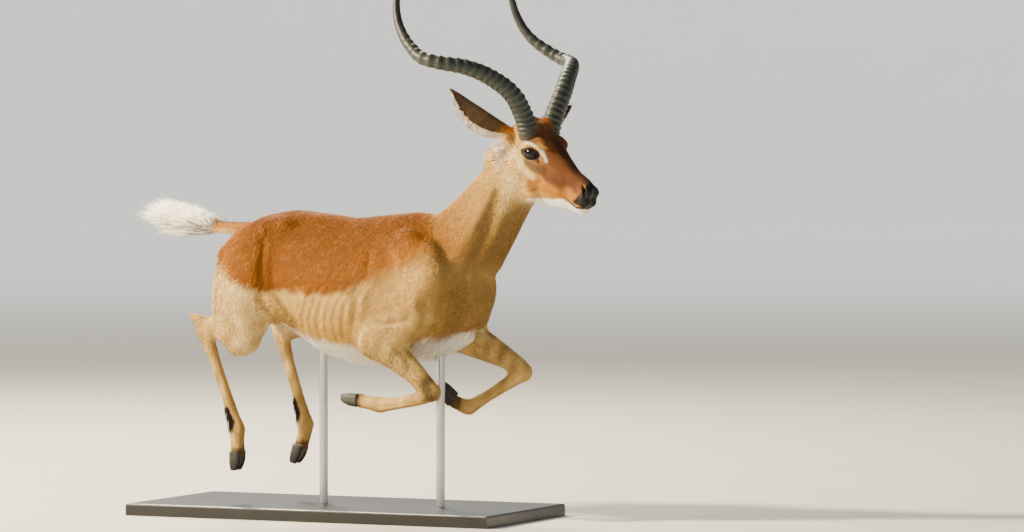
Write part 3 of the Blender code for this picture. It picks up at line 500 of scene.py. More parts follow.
def lower_croup(bm):
    # the croup falls away to the dock more than the solid's blunt corner does, so its points come
    # under a soft limit that is lower toward the rear and toward the sides
    for vert in bm.verts:
        x, y, z = vert.co
        limit = float(np.interp(x, CROUP_X, CROUP_Z)) - CROUP_ROUND * y * y
        over = z - limit + CROUP_SOFT
        if x < CROUP_X[-1] and over > 0.0:
            vert.co.z = limit - CROUP_SOFT * math.exp(-over / CROUP_SOFT)


def add_ball(bm, place, radius, subdivisions):
    bmesh.ops.create_icosphere(bm, subdivisions=subdivisions, radius=radius, matrix=Matrix.Translation(place))


def add_dock(bm):
    rows = [np.array(row) for row in BONES["tail"]]
    for row, following in zip(rows, rows[1:]):
        for step in range(DOCK_STEPS):
            place = row + (following - row) * step / DOCK_STEPS
            add_ball(bm, place[:3], place[3], 2)


def horn_base(side, sink=0.0):
    forward, out, up = HORN_BASE
    return from_head(forward, out * side, up - sink)


def remeshed(piece, voxel):
    remesh = piece.modifiers.new("join", "REMESH")
    remesh.mode = "VOXEL"
    remesh.voxel_size = voxel
    return piece


def join_flesh():
    bm = bmesh.new()
    for node in FLESH + HOOVES + ["eye_right", "eye_left"]:
        copy = merged_copy(node, JOIN_SWELL)
        bm.from_mesh(copy)
        bpy.data.meshes.remove(copy)
    lower_croup(bm)
    for side in SIDES.values():
        add_ball(bm, horn_base(side, HORN_PLUG_SINK), HORN_BASE_RADIUS, 3)
    add_dock(bm)
    piece = link_object("hide_join", mesh_of(bm, "hide_join"))
    return applied_mesh(remeshed(piece, HIDE_VOXEL))


def refine_face(mesh):
    # the lids, the nostrils and the lips need smaller faces than the rest
    bm = bmesh.new()
    bm.from_mesh(mesh)
    places = to_head(np.array([edge.verts[0].co for edge in bm.edges]))
    folded = places * (1.0, 0.0, 1.0) + np.abs(places) * (0.0, 1.0, 0.0)
    by_eye = np.linalg.norm(folded - FINE_EYE, axis=1) < FINE_ROUND_EYE
    by_mouth = folded[:, 0] > FINE_FROM
    by_mouth &= (folded[:, 1] < FINE_HALF_WIDTH) & (np.abs(folded[:, 2]) < FINE_HALF_HEIGHT)
    bm.edges.ensure_lookup_table()
    chosen = [bm.edges[index] for index in np.flatnonzero(by_eye | by_mouth)]
    bmesh.ops.subdivide_edges(bm, edges=chosen, cuts=1, use_grid_fill=True)
    bmesh.ops.triangulate(bm, faces=[face for face in bm.faces if len(face.verts) > 4])
    bm.to_mesh(mesh)
    bm.free()


hide_mesh = join_flesh()
refine_face(hide_mesh)
points = read(hide_mesh.vertices, "co", 3)
edges = read(hide_mesh.edges, "vertices", 2).astype(int)
print("the joined hide has", len(points), "points")

# %% [markdown]
# ## Softening and coat depth
#
# The joined form still shows the flat facets of the solids. Moving every point part of the way to
# the middle of its neighbours irons them out, and doing so more strongly on the big muscles than
# on the head, the ears and the thin legs keeps the fine forms. The hide lies under the hair, so
# every point then moves in by the depth of the coat there.

# %% Soften the facets and sink the hide by the depth of the coat
SOFT_ROUNDS = 70
BROAD_PARTS = ["trunk", "neck", "thigh_right", "thigh_left", "foreleg_right", "foreleg_left"]
BROAD_SOFTNESS = 0.5
FINE_SOFTNESS = 0.10
LEAST_SOFTNESS = 0.02
COAT_DEPTH = {"face": 0.0008, "ear": 0.0006, "neck": 0.0028, "trunk": 0.0018, "tail": 0.0, "foreleg": 0.0014,
              "foreshin": 0.0008, "thigh": 0.0018, "shank": 0.0011, "hindshin": 0.0008}
HOOF_INSET = 0.0030
HOOF_MARGIN = 0.001


def neighbour_mean(values, edges):
    first, second = edges.T
    total = np.empty_like(values)
    for axis in range(values.shape[1]):
        total[:, axis] = (np.bincount(first, values[second, axis], len(values))
                          + np.bincount(second, values[first, axis], len(values)))
    return total / np.maximum(np.bincount(edges.ravel(), minlength=len(values)), 1)[:, None]


def inside_hooves(points):
    inside = np.zeros(len(points), bool)
    for hoof in HOOVES:
        low, high = (np.array(corner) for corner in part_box(hoof))
        inside |= np.all((points > low - HOOF_MARGIN) & (points < high + HOOF_MARGIN), axis=1)
    return inside


def move_points(mesh, points):
    mesh.vertices.foreach_set("co", points.astype(np.float32).ravel())
    mesh.update()


shares, ways = part_shares(points)
breadth = sum(shares[part] for part in BROAD_PARTS)
thin = shares["ear_right"] + shares["ear_left"] + inside_hooves(points)
softness = FINE_SOFTNESS + (BROAD_SOFTNESS - FINE_SOFTNESS) * breadth
softness = softness * np.clip(1.0 - thin, 0.0, 1.0) + LEAST_SOFTNESS
for turn in range(SOFT_ROUNDS):
    points += softness[:, None] * (neighbour_mean(points, edges) - points)
move_points(hide_mesh, points)
normals = read(hide_mesh.vertices, "normal", 3)
depth = sum(shares[part] * COAT_DEPTH[part.split("_")[0]] for part in PARTS)
depth[inside_hooves(points)] = HOOF_INSET
points -= normals * depth[:, None]
move_points(hide_mesh, points)
print("the coat is from", COAT_DEPTH["face"] * 1000, "to", COAT_DEPTH["neck"] * 1000, "mm deep")

# %% [markdown]
# ## Muscles, ribs and folds
#
# A lean running animal shows its ribs, the edges of the shoulder and thigh, the tight fold of the
# flank and the tendons of the shins. A sculptor would lay strips of clay along them. Each strip
# here is a row of places in the side view with a width and a height, and it moves the hide along
# its own normal. A height below zero cuts a groove. Displacing with an image could do the same,
# but a strip can be read, measured and moved.

# %% Strips laid in the side view: rows of (x, z), width, height, and the side they are on
RIB = [(0.070, 0.640), (0.045, 0.612), (0.020, 0.583), (0.000, 0.556), (-0.016, 0.528), (-0.026, 0.500),
       (-0.028, 0.474), (-0.023, 0.450), (-0.012, 0.430)]
RIB_SPACING = 0.0235
RIB_COUNT = 8
RIBS_BEHIND = 2
RIB_WIDTH = 0.0082
RIB_HEIGHT = 0.0052
RIB_FADE = 0.07
BOTH = 0
RIGHT = -1
LEFT = 1
BODY_STRIPS = [
    # hip bone, and the hollow of the flank in front of it
    ([(-0.168, 0.722), (-0.180, 0.712)], 0.0160, 0.0061, BOTH),
    ([(-0.115, 0.672), (-0.130, 0.640)], 0.0300, -0.0054, BOTH),
    # high point of the croup
    ([(-0.110, 0.752), (-0.150, 0.757), (-0.185, 0.757)], 0.0260, 0.0050, BOTH),
    # spine seen along the loins
    ([(-0.140, 0.756), (0.060, 0.742)], 0.0100, 0.0014, BOTH),
    # front edge of the thigh, and the roll of skin in front of it
    ([(-0.168, 0.705), (-0.173, 0.640), (-0.171, 0.580), (-0.182, 0.545)], 0.0075, -0.0050, RIGHT),
    ([(-0.154, 0.690), (-0.157, 0.640), (-0.153, 0.590)], 0.0090, 0.0030, RIGHT),
    ([(-0.130, 0.700), (-0.118, 0.640), (-0.085, 0.590), (-0.040, 0.560)], 0.0085, -0.0054, LEFT),
    # fold of the flank that ties the thigh to the belly
    ([(-0.166, 0.568), (-0.137, 0.542), (-0.108, 0.508)], 0.0090, 0.0068, RIGHT),
    ([(-0.178, 0.552), (-0.155, 0.520), (-0.130, 0.490)], 0.0090, -0.0054, RIGHT),
    # furrows between the muscles at the back of the thigh
    ([(-0.256, 0.590), (-0.247, 0.520), (-0.228, 0.455), (-0.203, 0.415)], 0.0080, -0.0038, RIGHT),
    ([(-0.285, 0.600), (-0.284, 0.530), (-0.270, 0.470)], 0.0080, -0.0030, RIGHT),
    ([(-0.215, 0.620), (-0.180, 0.575), (-0.120, 0.535)], 0.0090, -0.0038, LEFT),
    # back edge of the shoulder blade and of the upper arm
    ([(0.124, 0.690), (0.128, 0.650), (0.126, 0.598)], 0.0100, -0.0041, BOTH),
    ([(0.142, 0.680), (0.144, 0.640), (0.140, 0.590)], 0.0110, 0.0016, BOTH),
    ([(0.104, 0.585), (0.092, 0.530), (0.088, 0.470)], 0.0130, -0.0081, RIGHT),
    ([(0.120, 0.560), (0.112, 0.520), (0.100, 0.470)], 0.0090, 0.0041, RIGHT),
    # ridge of the shoulder blade, the furrow in front of it and the point of the shoulder
    ([(0.200, 0.700), (0.222, 0.620)], 0.0080, 0.0030, BOTH),
    ([(0.253, 0.690), (0.258, 0.655), (0.243, 0.560), (0.232, 0.520)], 0.0180, -0.0042, BOTH),
    ([(0.258, 0.556), (0.262, 0.528)], 0.0120, 0.0074, BOTH),
    ([(0.290, 0.560), (0.275, 0.500), (0.262, 0.460)], 0.0120, -0.0054, BOTH),
    # crease above the forearm, and the muscles of the forearm itself
    ([(0.158, 0.484), (0.200, 0.492), (0.236, 0.498)], 0.0090, -0.0081, RIGHT),
    ([(0.185, 0.455), (0.225, 0.415), (0.262, 0.372)], 0.0065, -0.0024, RIGHT),
    ([(0.165, 0.452), (0.200, 0.425), (0.235, 0.390)], 0.0080, 0.0024, RIGHT),
    ([(0.300, 0.455), (0.350, 0.432), (0.400, 0.408)], 0.0070, -0.0024, LEFT),
    # furrow of the great vein along the neck, and the muscle behind it
    ([(0.452, 0.785), (0.430, 0.728), (0.388, 0.640), (0.330, 0.560)], 0.0130, -0.0047, BOTH),
    ([(0.420, 0.800), (0.380, 0.720), (0.330, 0.640)], 0.0180, 0.0034, BOTH),
    # front of the breast
    ([(0.375, 0.610), (0.372, 0.540), (0.340, 0.480)], 0.0090, 0.0034, BOTH),
    # shallow wrinkles where the skin is drawn over the elbow and the breast
    ([(0.300, 0.520), (0.320, 0.480), (0.325, 0.450)], 0.0060, -0.0022, BOTH),
    ([(0.070, 0.560), (0.060, 0.500), (0.070, 0.440)], 0.0090, -0.0024, RIGHT),
]
SIDE_START = 0.018
STRIP_SOFT_ROUNDS = 3


def row_gap(points, row):
    # distance to a row of straight stretches, and the share of the row's length there
    best = np.full(len(points), 9.0)
    along = np.zeros(len(points))
    for index in range(len(row) - 1):
        start = np.array(row[index])
        span = np.array(row[index + 1]) - start
        share = np.clip((points - start) @ span / (span @ span), 0.0, 1.0)
        gap = np.linalg.norm(points - start - share[:, None] * span, axis=1)
        nearer = gap < best
        best[nearer] = gap[nearer]
        along[nearer] = (index + share[nearer]) / (len(row) - 1)
    return best, along


def strip_heights(points, strips):
    flat = points[:, (0, 2)]
    sides = {BOTH: smooth_step(0.0, SIDE_START, np.abs(points[:, 1])),
             RIGHT: smooth_step(0.0, SIDE_START, -points[:, 1]),
             LEFT: smooth_step(0.0, SIDE_START, points[:, 1])}
    total = np.zeros(len(points))
    for row, width, height, side in strips:
        gap, along = row_gap(flat, row)
        fade = np.sin(np.pi * np.clip(along, 0.08, 0.92)) ** 0.5
        total += height * bump(gap, width) * fade * sides[side]
    return total


def rib_strip(turn):
    row = [(x + RIB_SPACING * (turn - RIBS_BEHIND), z) for x, z in RIB]
    return row, RIB_WIDTH, RIB_HEIGHT * (1.0 - RIB_FADE * turn), BOTH


ribs = [rib_strip(turn) for turn in range(RIB_COUNT)]
normals = read(hide_mesh.vertices, "normal", 3)
heights = strip_heights(points, BODY_STRIPS) * breadth + strip_heights(points, ribs) * shares["trunk"]
points += normals * heights[:, None]
for turn in range(STRIP_SOFT_ROUNDS):
    points += (BROAD_SOFTNESS * breadth)[:, None] * (neighbour_mean(points, edges) - points)
move_points(hide_mesh, points)
normals = read(hide_mesh.vertices, "normal", 3)
print("strips raise the hide by", round(heights.max() * 1000, 1), "mm and cut it by",
      round(-heights.min() * 1000, 1), "mm")

# %% Tendons of the shins, laid as furrows just behind each cannon bone
TENDON_BACK = 0.0045
TENDON_WIDTH = 0.0030
TENDON_DEPTH = 0.0016
SHINS = {"foreshin_right": (0.0, -1.0), "foreshin_left": (-0.55, 0.80), "hindshin_right": (-1.0, 0.25),
         "hindshin_left": (-1.0, 0.25)}


def cut_tendons(points):
    for part, (x, z) in SHINS.items():
        row = [(place[0] + x * TENDON_BACK, place[2] + z * TENDON_BACK) for place in BONES[part][1:4]]
        gap, along = row_gap(points[:, (0, 2)], row)
        fade = smooth_step(0.0, 0.15, along) * smooth_step(1.0, 0.85, along) * shares[part]
        points -= normals * (TENDON_DEPTH * bump(gap, TENDON_WIDTH) * fade)[:, None]


cut_tendons(points)
print("tendon furrows", TENDON_DEPTH * 1000, "mm deep on", len(SHINS), "shins")

# %% [markdown]
# ## The face
#
# The head gets the most care. Its forms are strips again, in the head's own directions and the
# same on both sides: the hollow in front of the eye, the crest of the cheek, the jaw, the comma
# of the nostril and the mouth. The lids are made by moving the hide onto the eyeball: inside the
# almond of the opening it dives behind the ball, and round it a rim lies on the ball, with the
# crease of the upper lid above.

# %% Strips on the face: rows of (forward, out, up), width, height
FACE_STRIPS = [
    ([(0.040, 0.046, -0.006), (0.062, 0.040, -0.014)], 0.0090, -0.0030),
    ([(0.040, 0.050, -0.030), (0.075, 0.040, -0.038), (0.115, 0.032, -0.042)], 0.0060, 0.0018),
    ([(0.060, 0.040, -0.048), (0.046, 0.040, -0.070), (0.030, 0.034, -0.095)], 0.0065, -0.0024),
    ([(-0.060, 0.045, -0.030), (-0.048, 0.045, -0.065), (-0.015, 0.036, -0.108)], 0.0075, -0.0034),
    ([(0.075, 0.030, -0.060), (0.110, 0.028, -0.062)], 0.0080, -0.0016),
    ([(0.120, 0.026, -0.012), (0.150, 0.020, -0.008)], 0.0075, -0.0022),
    ([(0.030, 0.034, 0.052), (0.075, 0.020, 0.036)], 0.0085, -0.0016),
    ([(-0.030, 0.000, 0.066), (0.040, 0.000, 0.056)], 0.0120, 0.0012),
]
FACE_STRIP_SPREAD = 1.25
NOSTRIL = [(0.1650, 0.0200, 0.0010), (0.1760, 0.0225, -0.0050), (0.1830, 0.0190, -0.0150),
           (0.1800, 0.0180, -0.0200)]
NOSTRIL_WIDTH = 0.0042
NOSTRIL_DEPTH = 0.0100
NOSTRIL_RIM_HEIGHT = 0.0012
NOSTRIL_RIM_OUT = 0.0055
NOSTRIL_RIM_WIDTH = 0.0025
MOUTH = [(0.125, 0.034, -0.0470), (0.150, 0.030, -0.0520), (0.172, 0.022, -0.0560), (0.187, 0.010, -0.0490),
         (0.194, 0.000, -0.0420)]
MOUTH_WIDTH = 0.0019
MOUTH_DEPTH = 0.0036
LIP_HEIGHT = 0.0009
LIP_OUT = 0.0040
LIP_WIDTH = 0.0022


def face_heights(local):
    folded = np.column_stack((local[:, 0], np.abs(local[:, 1]), local[:, 2]))
    total = np.zeros(len(local))
    for row, width, height in FACE_STRIPS:
        total += height * bump(row_gap(folded, row)[0], width * FACE_STRIP_SPREAD)
    gap, along = row_gap(folded, NOSTRIL)
    total -= NOSTRIL_DEPTH * bump(gap, NOSTRIL_WIDTH * (1.0 - 0.35 * along))
    total += NOSTRIL_RIM_HEIGHT * bump(gap - NOSTRIL_RIM_OUT, NOSTRIL_RIM_WIDTH)
    gap, along = row_gap(folded, MOUTH)
    total -= MOUTH_DEPTH * bump(gap, MOUTH_WIDTH) * smooth_step(0.0, 0.2, along)
    total += LIP_HEIGHT * bump(gap - LIP_OUT, LIP_WIDTH) * smooth_step(0.0, 0.3, along)
    return total


local = to_head(points)
on_head = np.clip(shares["face"] + 0.3 * shares["neck"], 0.0, 1.0)
points += normals * (face_heights(local) * on_head)[:, None]
print("face strips laid:", len(FACE_STRIPS), "and the nostril and mouth cut")

# %% Lids
EYE_OPEN_HALF_LENGTH = 0.0166
EYE_OPEN_HALF_HEIGHT = 0.0112
ALMOND_POWER = 1.75
EYE_SLANT = math.radians(16.0)
LID_RIM_OUT = 0.0010
BEHIND_BALL = 0.0060
LID_REACH = 0.0170
LID_ROLL = 0.0011
LID_ROLL_PLACE = 0.0022
LID_CREASE = 0.0017
LID_CREASE_PLACE = 0.0066
LID_CREASE_WIDTH = 0.0019
GAZE = {side: unit(outward * 0.93 + FACE_FORWARD * 0.30 + FACE_UP * 0.10)
        for side, outward in (("right", -FACE_LEFT), ("left", FACE_LEFT))}


def eye_directions(side):
    # the gaze, the way along the opening to the inner corner, and the way up from it
    gaze = GAZE[side]
    ahead = unit(FACE_FORWARD - gaze * (FACE_FORWARD @ gaze))
    above = unit(FACE_UP - gaze * (FACE_UP @ gaze))
    above = unit(above - ahead * (above @ ahead))
    inner = ahead * math.cos(EYE_SLANT) + above * math.sin(EYE_SLANT)
    upper = above * math.cos(EYE_SLANT) - ahead * math.sin(EYE_SLANT)
    return gaze, inner, upper


def opening_radius(along, height):
    # how far the almond of the opening reaches in the direction of each point
    size = np.maximum(np.hypot(along, height), 1e-6)
    across = (np.abs(along) / size / EYE_OPEN_HALF_LENGTH) ** ALMOND_POWER
    upward = (np.abs(height) / size / EYE_OPEN_HALF_HEIGHT) ** ALMOND_POWER
    return (across + upward) ** (-1.0 / ALMOND_POWER)


def model_lids(points, side):
    gaze, inner, upper = eye_directions(side)
    ray = points - EYES[side]
    out = ray @ gaze
    along = ray @ inner
    height = ray @ upper
    edge = opening_radius(along, height)
    beyond = np.hypot(along, height) - edge
    rim = np.sqrt((EYE_SIZE + LID_RIM_OUT) ** 2 - edge ** 2)
    is_upper = smooth_step(-0.003, 0.006, height)
    lid = rim + LID_ROLL * bump(beyond - LID_ROLL_PLACE, LID_ROLL_PLACE) * (0.6 + 0.4 * is_upper)
    crease = bump(beyond - LID_CREASE_PLACE, LID_CREASE_WIDTH)
    lid = lid - LID_CREASE * crease * (0.3 + 0.7 * is_upper)
    lid = lid - BEHIND_BALL * smooth_step(0.0, -0.0016, beyond)
    weight = smooth_step(LID_REACH, 0.0030, beyond) * (out > 0.0)
    points += gaze * ((lid - out) * weight)[:, None]


for side in EYES:
    model_lids(points, side)
move_points(hide_mesh, points)
print("lids open", round(EYE_OPEN_HALF_LENGTH * 2000, 1), "by", round(EYE_OPEN_HALF_HEIGHT * 2000, 1), "mm")

# %% [markdown]
# ## Thinning the hide
#
# The remesh made the same small faces everywhere. The broad flanks need far fewer than the head
# and feet, so a Decimate modifier thins the faces there until the hide is light enough to carry
# and export, and leaves the face and the ears as they are.

# %% Thin out the broad parts
FACES_KEPT = 0.30
LEVELS = 10


def thin_out(mesh):
    piece = link_object("hide_thin", mesh)
    group = piece.vertex_groups.new(name="broad")
    fine = shares["face"] + shares["ear_right"] + shares["ear_left"]
    levels = np.ceil((1.0 - np.clip(fine, 0.0, 1.0)) * LEVELS).astype(int)
    for level in range(1, LEVELS + 1):
        group.add(np.flatnonzero(levels == level).tolist(), level / LEVELS, "REPLACE")
    modifier = piece.modifiers.new("thin_out", "DECIMATE")
    modifier.ratio = FACES_KEPT
    modifier.vertex_group = "broad"
    modifier.use_collapse_triangulate = True
    light = applied_mesh(piece)
    light.name = "hide"
    return shade_smooth(light)


hide_mesh = thin_out(hide_mesh)
points = read(hide_mesh.vertices, "co", 3)
normals = read(hide_mesh.vertices, "normal", 3)
edges = read(hide_mesh.edges, "vertices", 2).astype(int)
shares, ways = part_shares(points)
print("the hide has", len(hide_mesh.polygons), "triangles")

# %% [markdown]
# ## Markings
#
# An impala wears three bands: a rufous saddle along the back, a fawn flank and a white belly. It
# has a pale arch over the eye, a white lower jaw, a pale throat, black ear tips, a dark blaze down
# the forehead, black tufts above the hind fetlocks, and black lines down the rump and the tail. Each
# marking is a rule about the place on the body, so the hide and every tuft on it ask the same
# function and can never disagree. In these rules the two numbers of a smooth_step are the places,
# in metres, where a tone starts and where it is full: x forward, z up from the floor, or the head's
# own forward and up. For a normal they say how far the skin faces that way.

# %% Colours of the coat
RUFOUS = linear("#8C5206")
ORANGE = linear("#AA6B14")
FAWN = linear("#BC8F40")
FAWN_PALE = linear("#D9B568")
FAWN_SHADE = linear("#86683B")
CREAM = linear("#E8D7A6")
WHITE = linear("#F1EDE2")
# the thigh's tone is partly its own paler coat and partly painted sunlight
THIGH_PALE_AND_SUNLIT = (FAWN_PALE + CREAM) / 2.0
UMBER = linear("#352010")
BLAZE = linear("#43240E")
UNDER_EYE_SHADE = linear("#57492F")
BLACK = linear("#0E0B09")


def mix(first, second, share):
    share = np.clip(share, 0.0, 1.0)[:, None]
    return first * (1.0 - share) + second * share


def band(gap, half_width, softness):
    return smooth_step(half_width + softness, half_width - softness, gap)


# %% Markings of the trunk and neck, with the saddle's lower edge as heights along the body
SADDLE_X = (-0.40, -0.33, -0.26, -0.20, -0.17, 0.03, 0.08, 0.14, 0.22, 0.30)
SADDLE_Z = (0.715, 0.660, 0.597, 0.572, 0.565, 0.564, 0.570, 0.590, 0.622, 0.655)
SADDLE_SOFT = (0.040, 0.036, 0.022, 0.010, 0.008, 0.009, 0.018, 0.036, 0.045, 0.060)
SADDLE_WAVER = 0.004
FLANK_FADE = 0.10
BELLY_X = (-0.20, -0.10, -0.04, 0.13, 0.22, 0.34)
BELLY_Z = (0.500, 0.462, 0.447, 0.420, 0.440, 0.465)
BELLY_SOFT = 0.012
BELLY_WAVER = 0.003
THROAT = [(0.500, 0.850), (0.484, 0.815), (0.470, 0.780)]
THROAT_STRENGTH = 0.60
SHADED_VEIN_GROOVE = [(0.452, 0.822), (0.429, 0.778), (0.405, 0.730)]
BEHIND_EAR = [(0.452, 0.920), (0.466, 0.885), (0.480, 0.850)]
RUMP_STRIPE = [(0.048, 0.700), (0.054, 0.600), (0.050, 0.520)]
CROUP_SLANT = 0.10
CROUP_LEVEL = 0.60


def row_band(points, row, half_width, softness, waver=0.0):
    # a marking along a row of places in the side view
    return band(row_gap(points[:, (0, 2)], row)[0] + waver, half_width, softness)


def trunk_colour(points):
    x, z = points[:, (0, 2)].T
    rearward = x - CROUP_SLANT * (z - CROUP_LEVEL)
    ripple = wave_noise(points, 0.045, 3) + 0.5 * wave_noise(points, 0.018, 4)
    edge = np.interp(x, SADDLE_X, SADDLE_Z)
    soft = np.interp(x, SADDLE_X, SADDLE_SOFT)
    saddle = smooth_step(edge - soft, edge + soft, z + SADDLE_WAVER * ripple)
    saddle *= smooth_step(-0.350, -0.295, rearward)
    under = np.clip((edge - z) / FLANK_FADE, 0.0, 1.0)
    colour = mix(FAWN_PALE, FAWN, under)
    # the thigh is paler than the flank: partly its coat, partly painted sunlight
    colour = mix(colour, THIGH_PALE_AND_SUNLIT, 0.8 * smooth_step(-0.165, -0.200, x))
    colour = mix(colour, CREAM, 0.75 * smooth_step(-0.285, -0.335, rearward))
    top = smooth_step(0.62, 0.72, z)
    back = mix(RUFOUS, RUFOUS * 0.80, top)
    back = mix(back, ORANGE, smooth_step(0.06, 0.24, x) * smooth_step(0.74, 0.60, z))
    back = mix(back, ORANGE, 0.9 * smooth_step(-0.20, -0.31, x))
    colour = mix(colour, back, saddle)
    streaks = wave_noise(points * (1.0, 0.6, 0.35), 0.016, 5) + wave_noise(points * (1.0, 0.6, 0.5), 0.034, 6)
    colour = np.clip(colour * (1.0 + 0.07 * streaks)[:, None], 0.0, 0.9)
    # painted shade on the front of the breast, which faces away from the key light
    colour = mix(colour, FAWN_SHADE, 0.62 * smooth_step(0.25, 0.34, x) * smooth_step(0.74, 0.66, z))
    # painted shade in the hollow behind the upper arm, where the elbow meets the trunk
    shoulder = smooth_step(0.06, 0.14, x) * smooth_step(0.66, 0.52, z) * smooth_step(0.40, 0.48, z)
    colour = mix(colour, FAWN_SHADE, 0.35 * shoulder)
    belly = np.interp(x, BELLY_X, BELLY_Z)
    white = smooth_step(belly + BELLY_SOFT, belly - BELLY_SOFT, z + BELLY_WAVER * ripple)
    return mix(colour, WHITE, white)


def neck_colour(points, normals):
    x, z = points[:, (0, 2)].T
    rise = smooth_step(0.64, 0.90, z)
    back = (z - 0.60) * 0.60 - (x - 0.24) * 0.80 + 0.10
    colour = mix(mix(FAWN, ORANGE, smooth_step(0.02, 0.12, back)), FAWN_PALE, rise)
    nape = smooth_step(0.09, 0.17, back)
    colour = mix(colour, RUFOUS, 0.50 * nape * (1.0 - 0.40 * rise))
    # painted shade: the front of the neck, facing away from the key light, is darkened
    painted_shade_in_front = smooth_step(0.05, 0.50, normals[:, 0])
    colour = mix(colour, FAWN_SHADE * 0.85, 0.85 * painted_shade_in_front * smooth_step(0.86, 0.76, z))
    # painted shade along the furrow of the great vein
    colour = mix(colour, FAWN_SHADE * 0.75, 0.9 * row_band(points, SHADED_VEIN_GROOVE, 0.009, 0.008))
    gap, along = row_gap(points[:, (0, 2)], THROAT)
    patchy = gap + 0.004 * wave_noise(points, 0.03, 9) + 0.003 * wave_noise(points, 0.010, 10)
    colour = mix(colour, CREAM, THROAT_STRENGTH * band(patchy, 0.014, 0.012) * (1.0 - 0.7 * along))
    waver = 0.003 * wave_noise(points, 0.02, 11)
    return mix(colour, CREAM, 0.22 * row_band(points, BEHIND_EAR, 0.016, 0.012, waver))


print("saddle edge from", min(SADDLE_Z), "to", max(SADDLE_Z), "m above the floor")

# %% Markings of the face: rows of (forward, up) with half width, softness, colour and strength
FACE_MARKS = [
    ([(-0.060, -0.040), (-0.030, -0.075), (0.010, -0.080)], 0.016, 0.010, CREAM, 0.35),
    ([(0.056, -0.010), (0.085, -0.021), (0.115, -0.019), (0.138, -0.014)], 0.014, 0.009,
     linear("#5A3413"), 0.88),
    # painted shade under the eye, between the eye and the pale streak below it
    ([(0.004, -0.022), (0.030, -0.026), (0.046, -0.024)], 0.0080, 0.005, UNDER_EYE_SHADE, 0.90),
    ([(0.040, -0.054), (0.090, -0.050), (0.138, -0.044)], 0.012, 0.009, ORANGE, 0.75),
    ([(0.136, -0.030), (0.158, -0.040)], 0.010, 0.010, linear("#B5742B"), 0.90),
    ([(-0.054, -0.012), (-0.031, -0.027), (-0.002, -0.041), (0.020, -0.047), (0.034, -0.047)],
     0.0070, 0.0080, CREAM, 0.60),
    ([(-0.026, 0.0200), (0.000, 0.0270), (0.024, 0.0240), (0.040, 0.0150), (0.051, 0.0070)],
     0.0030, 0.0034, WHITE, 0.75),
    ([(0.016, 0.002), (0.034, -0.005)], 0.0045, 0.0025, BLACK, 0.90),
    ([(-0.095, -0.020), (-0.075, -0.035), (-0.060, -0.060)], 0.012, 0.008, WHITE, 0.70),
]
LOWER_JAW = ((0.00, 0.04, 0.13, 0.20), (-0.118, -0.104, -0.056, -0.050))
NOSE_FROM = 0.1695
DARK_HALF_LENGTH = 0.0280
DARK_HALF_HEIGHT = 0.0158
DARK_POWER = 1.6


def eye_gap(points, side):
    # how far each point is outside the almond of the opening, a metre more behind the ball
    gaze, inner, upper = eye_directions(side)
    ray = points - EYES[side]
    along, height = ray @ inner, ray @ upper
    return np.hypot(along, height) - opening_radius(along, height) + (ray @ gaze < 0.0)


def face_colour(points, normals):
    forward, out, up = to_head(points).T
    out = np.abs(out)
    ripple = wave_noise(points, 0.016, 21)
    mottle = wave_noise(points, 0.008, 22)
    colour = mix(FAWN, CREAM, 0.12 + 0.32 * mottle - 0.24 * smooth_step(-0.03, 0.03, forward))
    above_jaw = up + 0.3 * np.maximum(forward - 0.08, 0.0)
    front_cheek = smooth_step(-0.010, 0.055, forward) * smooth_step(-0.090, -0.055, above_jaw)
    colour = mix(colour, ORANGE * 0.9, 0.75 * front_cheek)
    upward = normals @ FACE_UP
    low = np.interp(forward, (-0.02, 0.03), (0.10, -0.16))
    top = smooth_step(0.0, 0.45, upward - low + 0.06 * ripple)
    top = top * smooth_step(0.0, 0.03, up + 0.10 + 0.1 * forward)
    middle = smooth_step(0.022, 0.010, out) * smooth_step(-0.02, 0.04, forward)
    blaze = mix(linear("#6C3F18"), BLAZE, middle)
    colour = mix(colour, blaze, top)
    side_view = np.column_stack((forward, up))
    for row, half_width, softness, tone, strength in FACE_MARKS:
        gap, along = row_gap(side_view, row)
        mark = strength * band(gap + 0.0012 * ripple, half_width, softness)
        colour = mix(colour, tone, mark * (1.0 - 0.85 * smooth_step(0.55, 0.85, upward)))
    jaw = np.interp(forward, *LOWER_JAW)
    colour = mix(colour, WHITE, smooth_step(0.004, -0.004, up - jaw + 0.0015 * ripple))
    gap, along = row_gap(side_view, [(row[0], row[2]) for row in MOUTH])
    colour = mix(colour, BLACK, 0.9 * band(gap, 0.0028, 0.0012) * smooth_step(0.0, 0.3, along))
    nose = forward - NOSE_FROM + 0.35 * np.maximum(-0.020 - up, 0.0) + 0.0008 * ripple
    colour = mix(colour, BLACK, smooth_step(-0.004, 0.004, nose) * smooth_step(-0.0490, -0.0440, up))
    colour = mix(colour, BLACK, 0.85 * bump(np.hypot(forward - 0.165, up + 0.045), 0.006))
    for side in EYES:
        gaze, inner, upper = eye_directions(side)
        ray = points - EYES[side]
        lined = np.abs(ray @ inner / DARK_HALF_LENGTH) ** DARK_POWER
        lined = lined + np.abs(ray @ upper / DARK_HALF_HEIGHT) ** DARK_POWER
        colour = mix(colour, BLACK, smooth_step(1.12, 0.92, lined) * (ray @ gaze > 0.0))
    return colour


print(len(FACE_MARKS), "streaks on each side of the face")

# %% Markings of the ears, the legs and the tail, and the function that joins all the parts
EAR_OPEN = {"right": unit(np.array((-0.37, -0.56, -0.73))), "left": unit(np.array((-0.75, 0.25, -0.50)))}
EAR_TIP_FROM = 0.58
EAR_CUP = 0.012
KNEE_PATCH = [(0.283, 0.345), (0.294, 0.310)]
HEEL_TUFTS = {"hindshin_right": ((-0.2910, 0.262), (-0.2765, 0.226)),
              "hindshin_left": ((-0.1770, 0.280), (-0.1660, 0.246))}


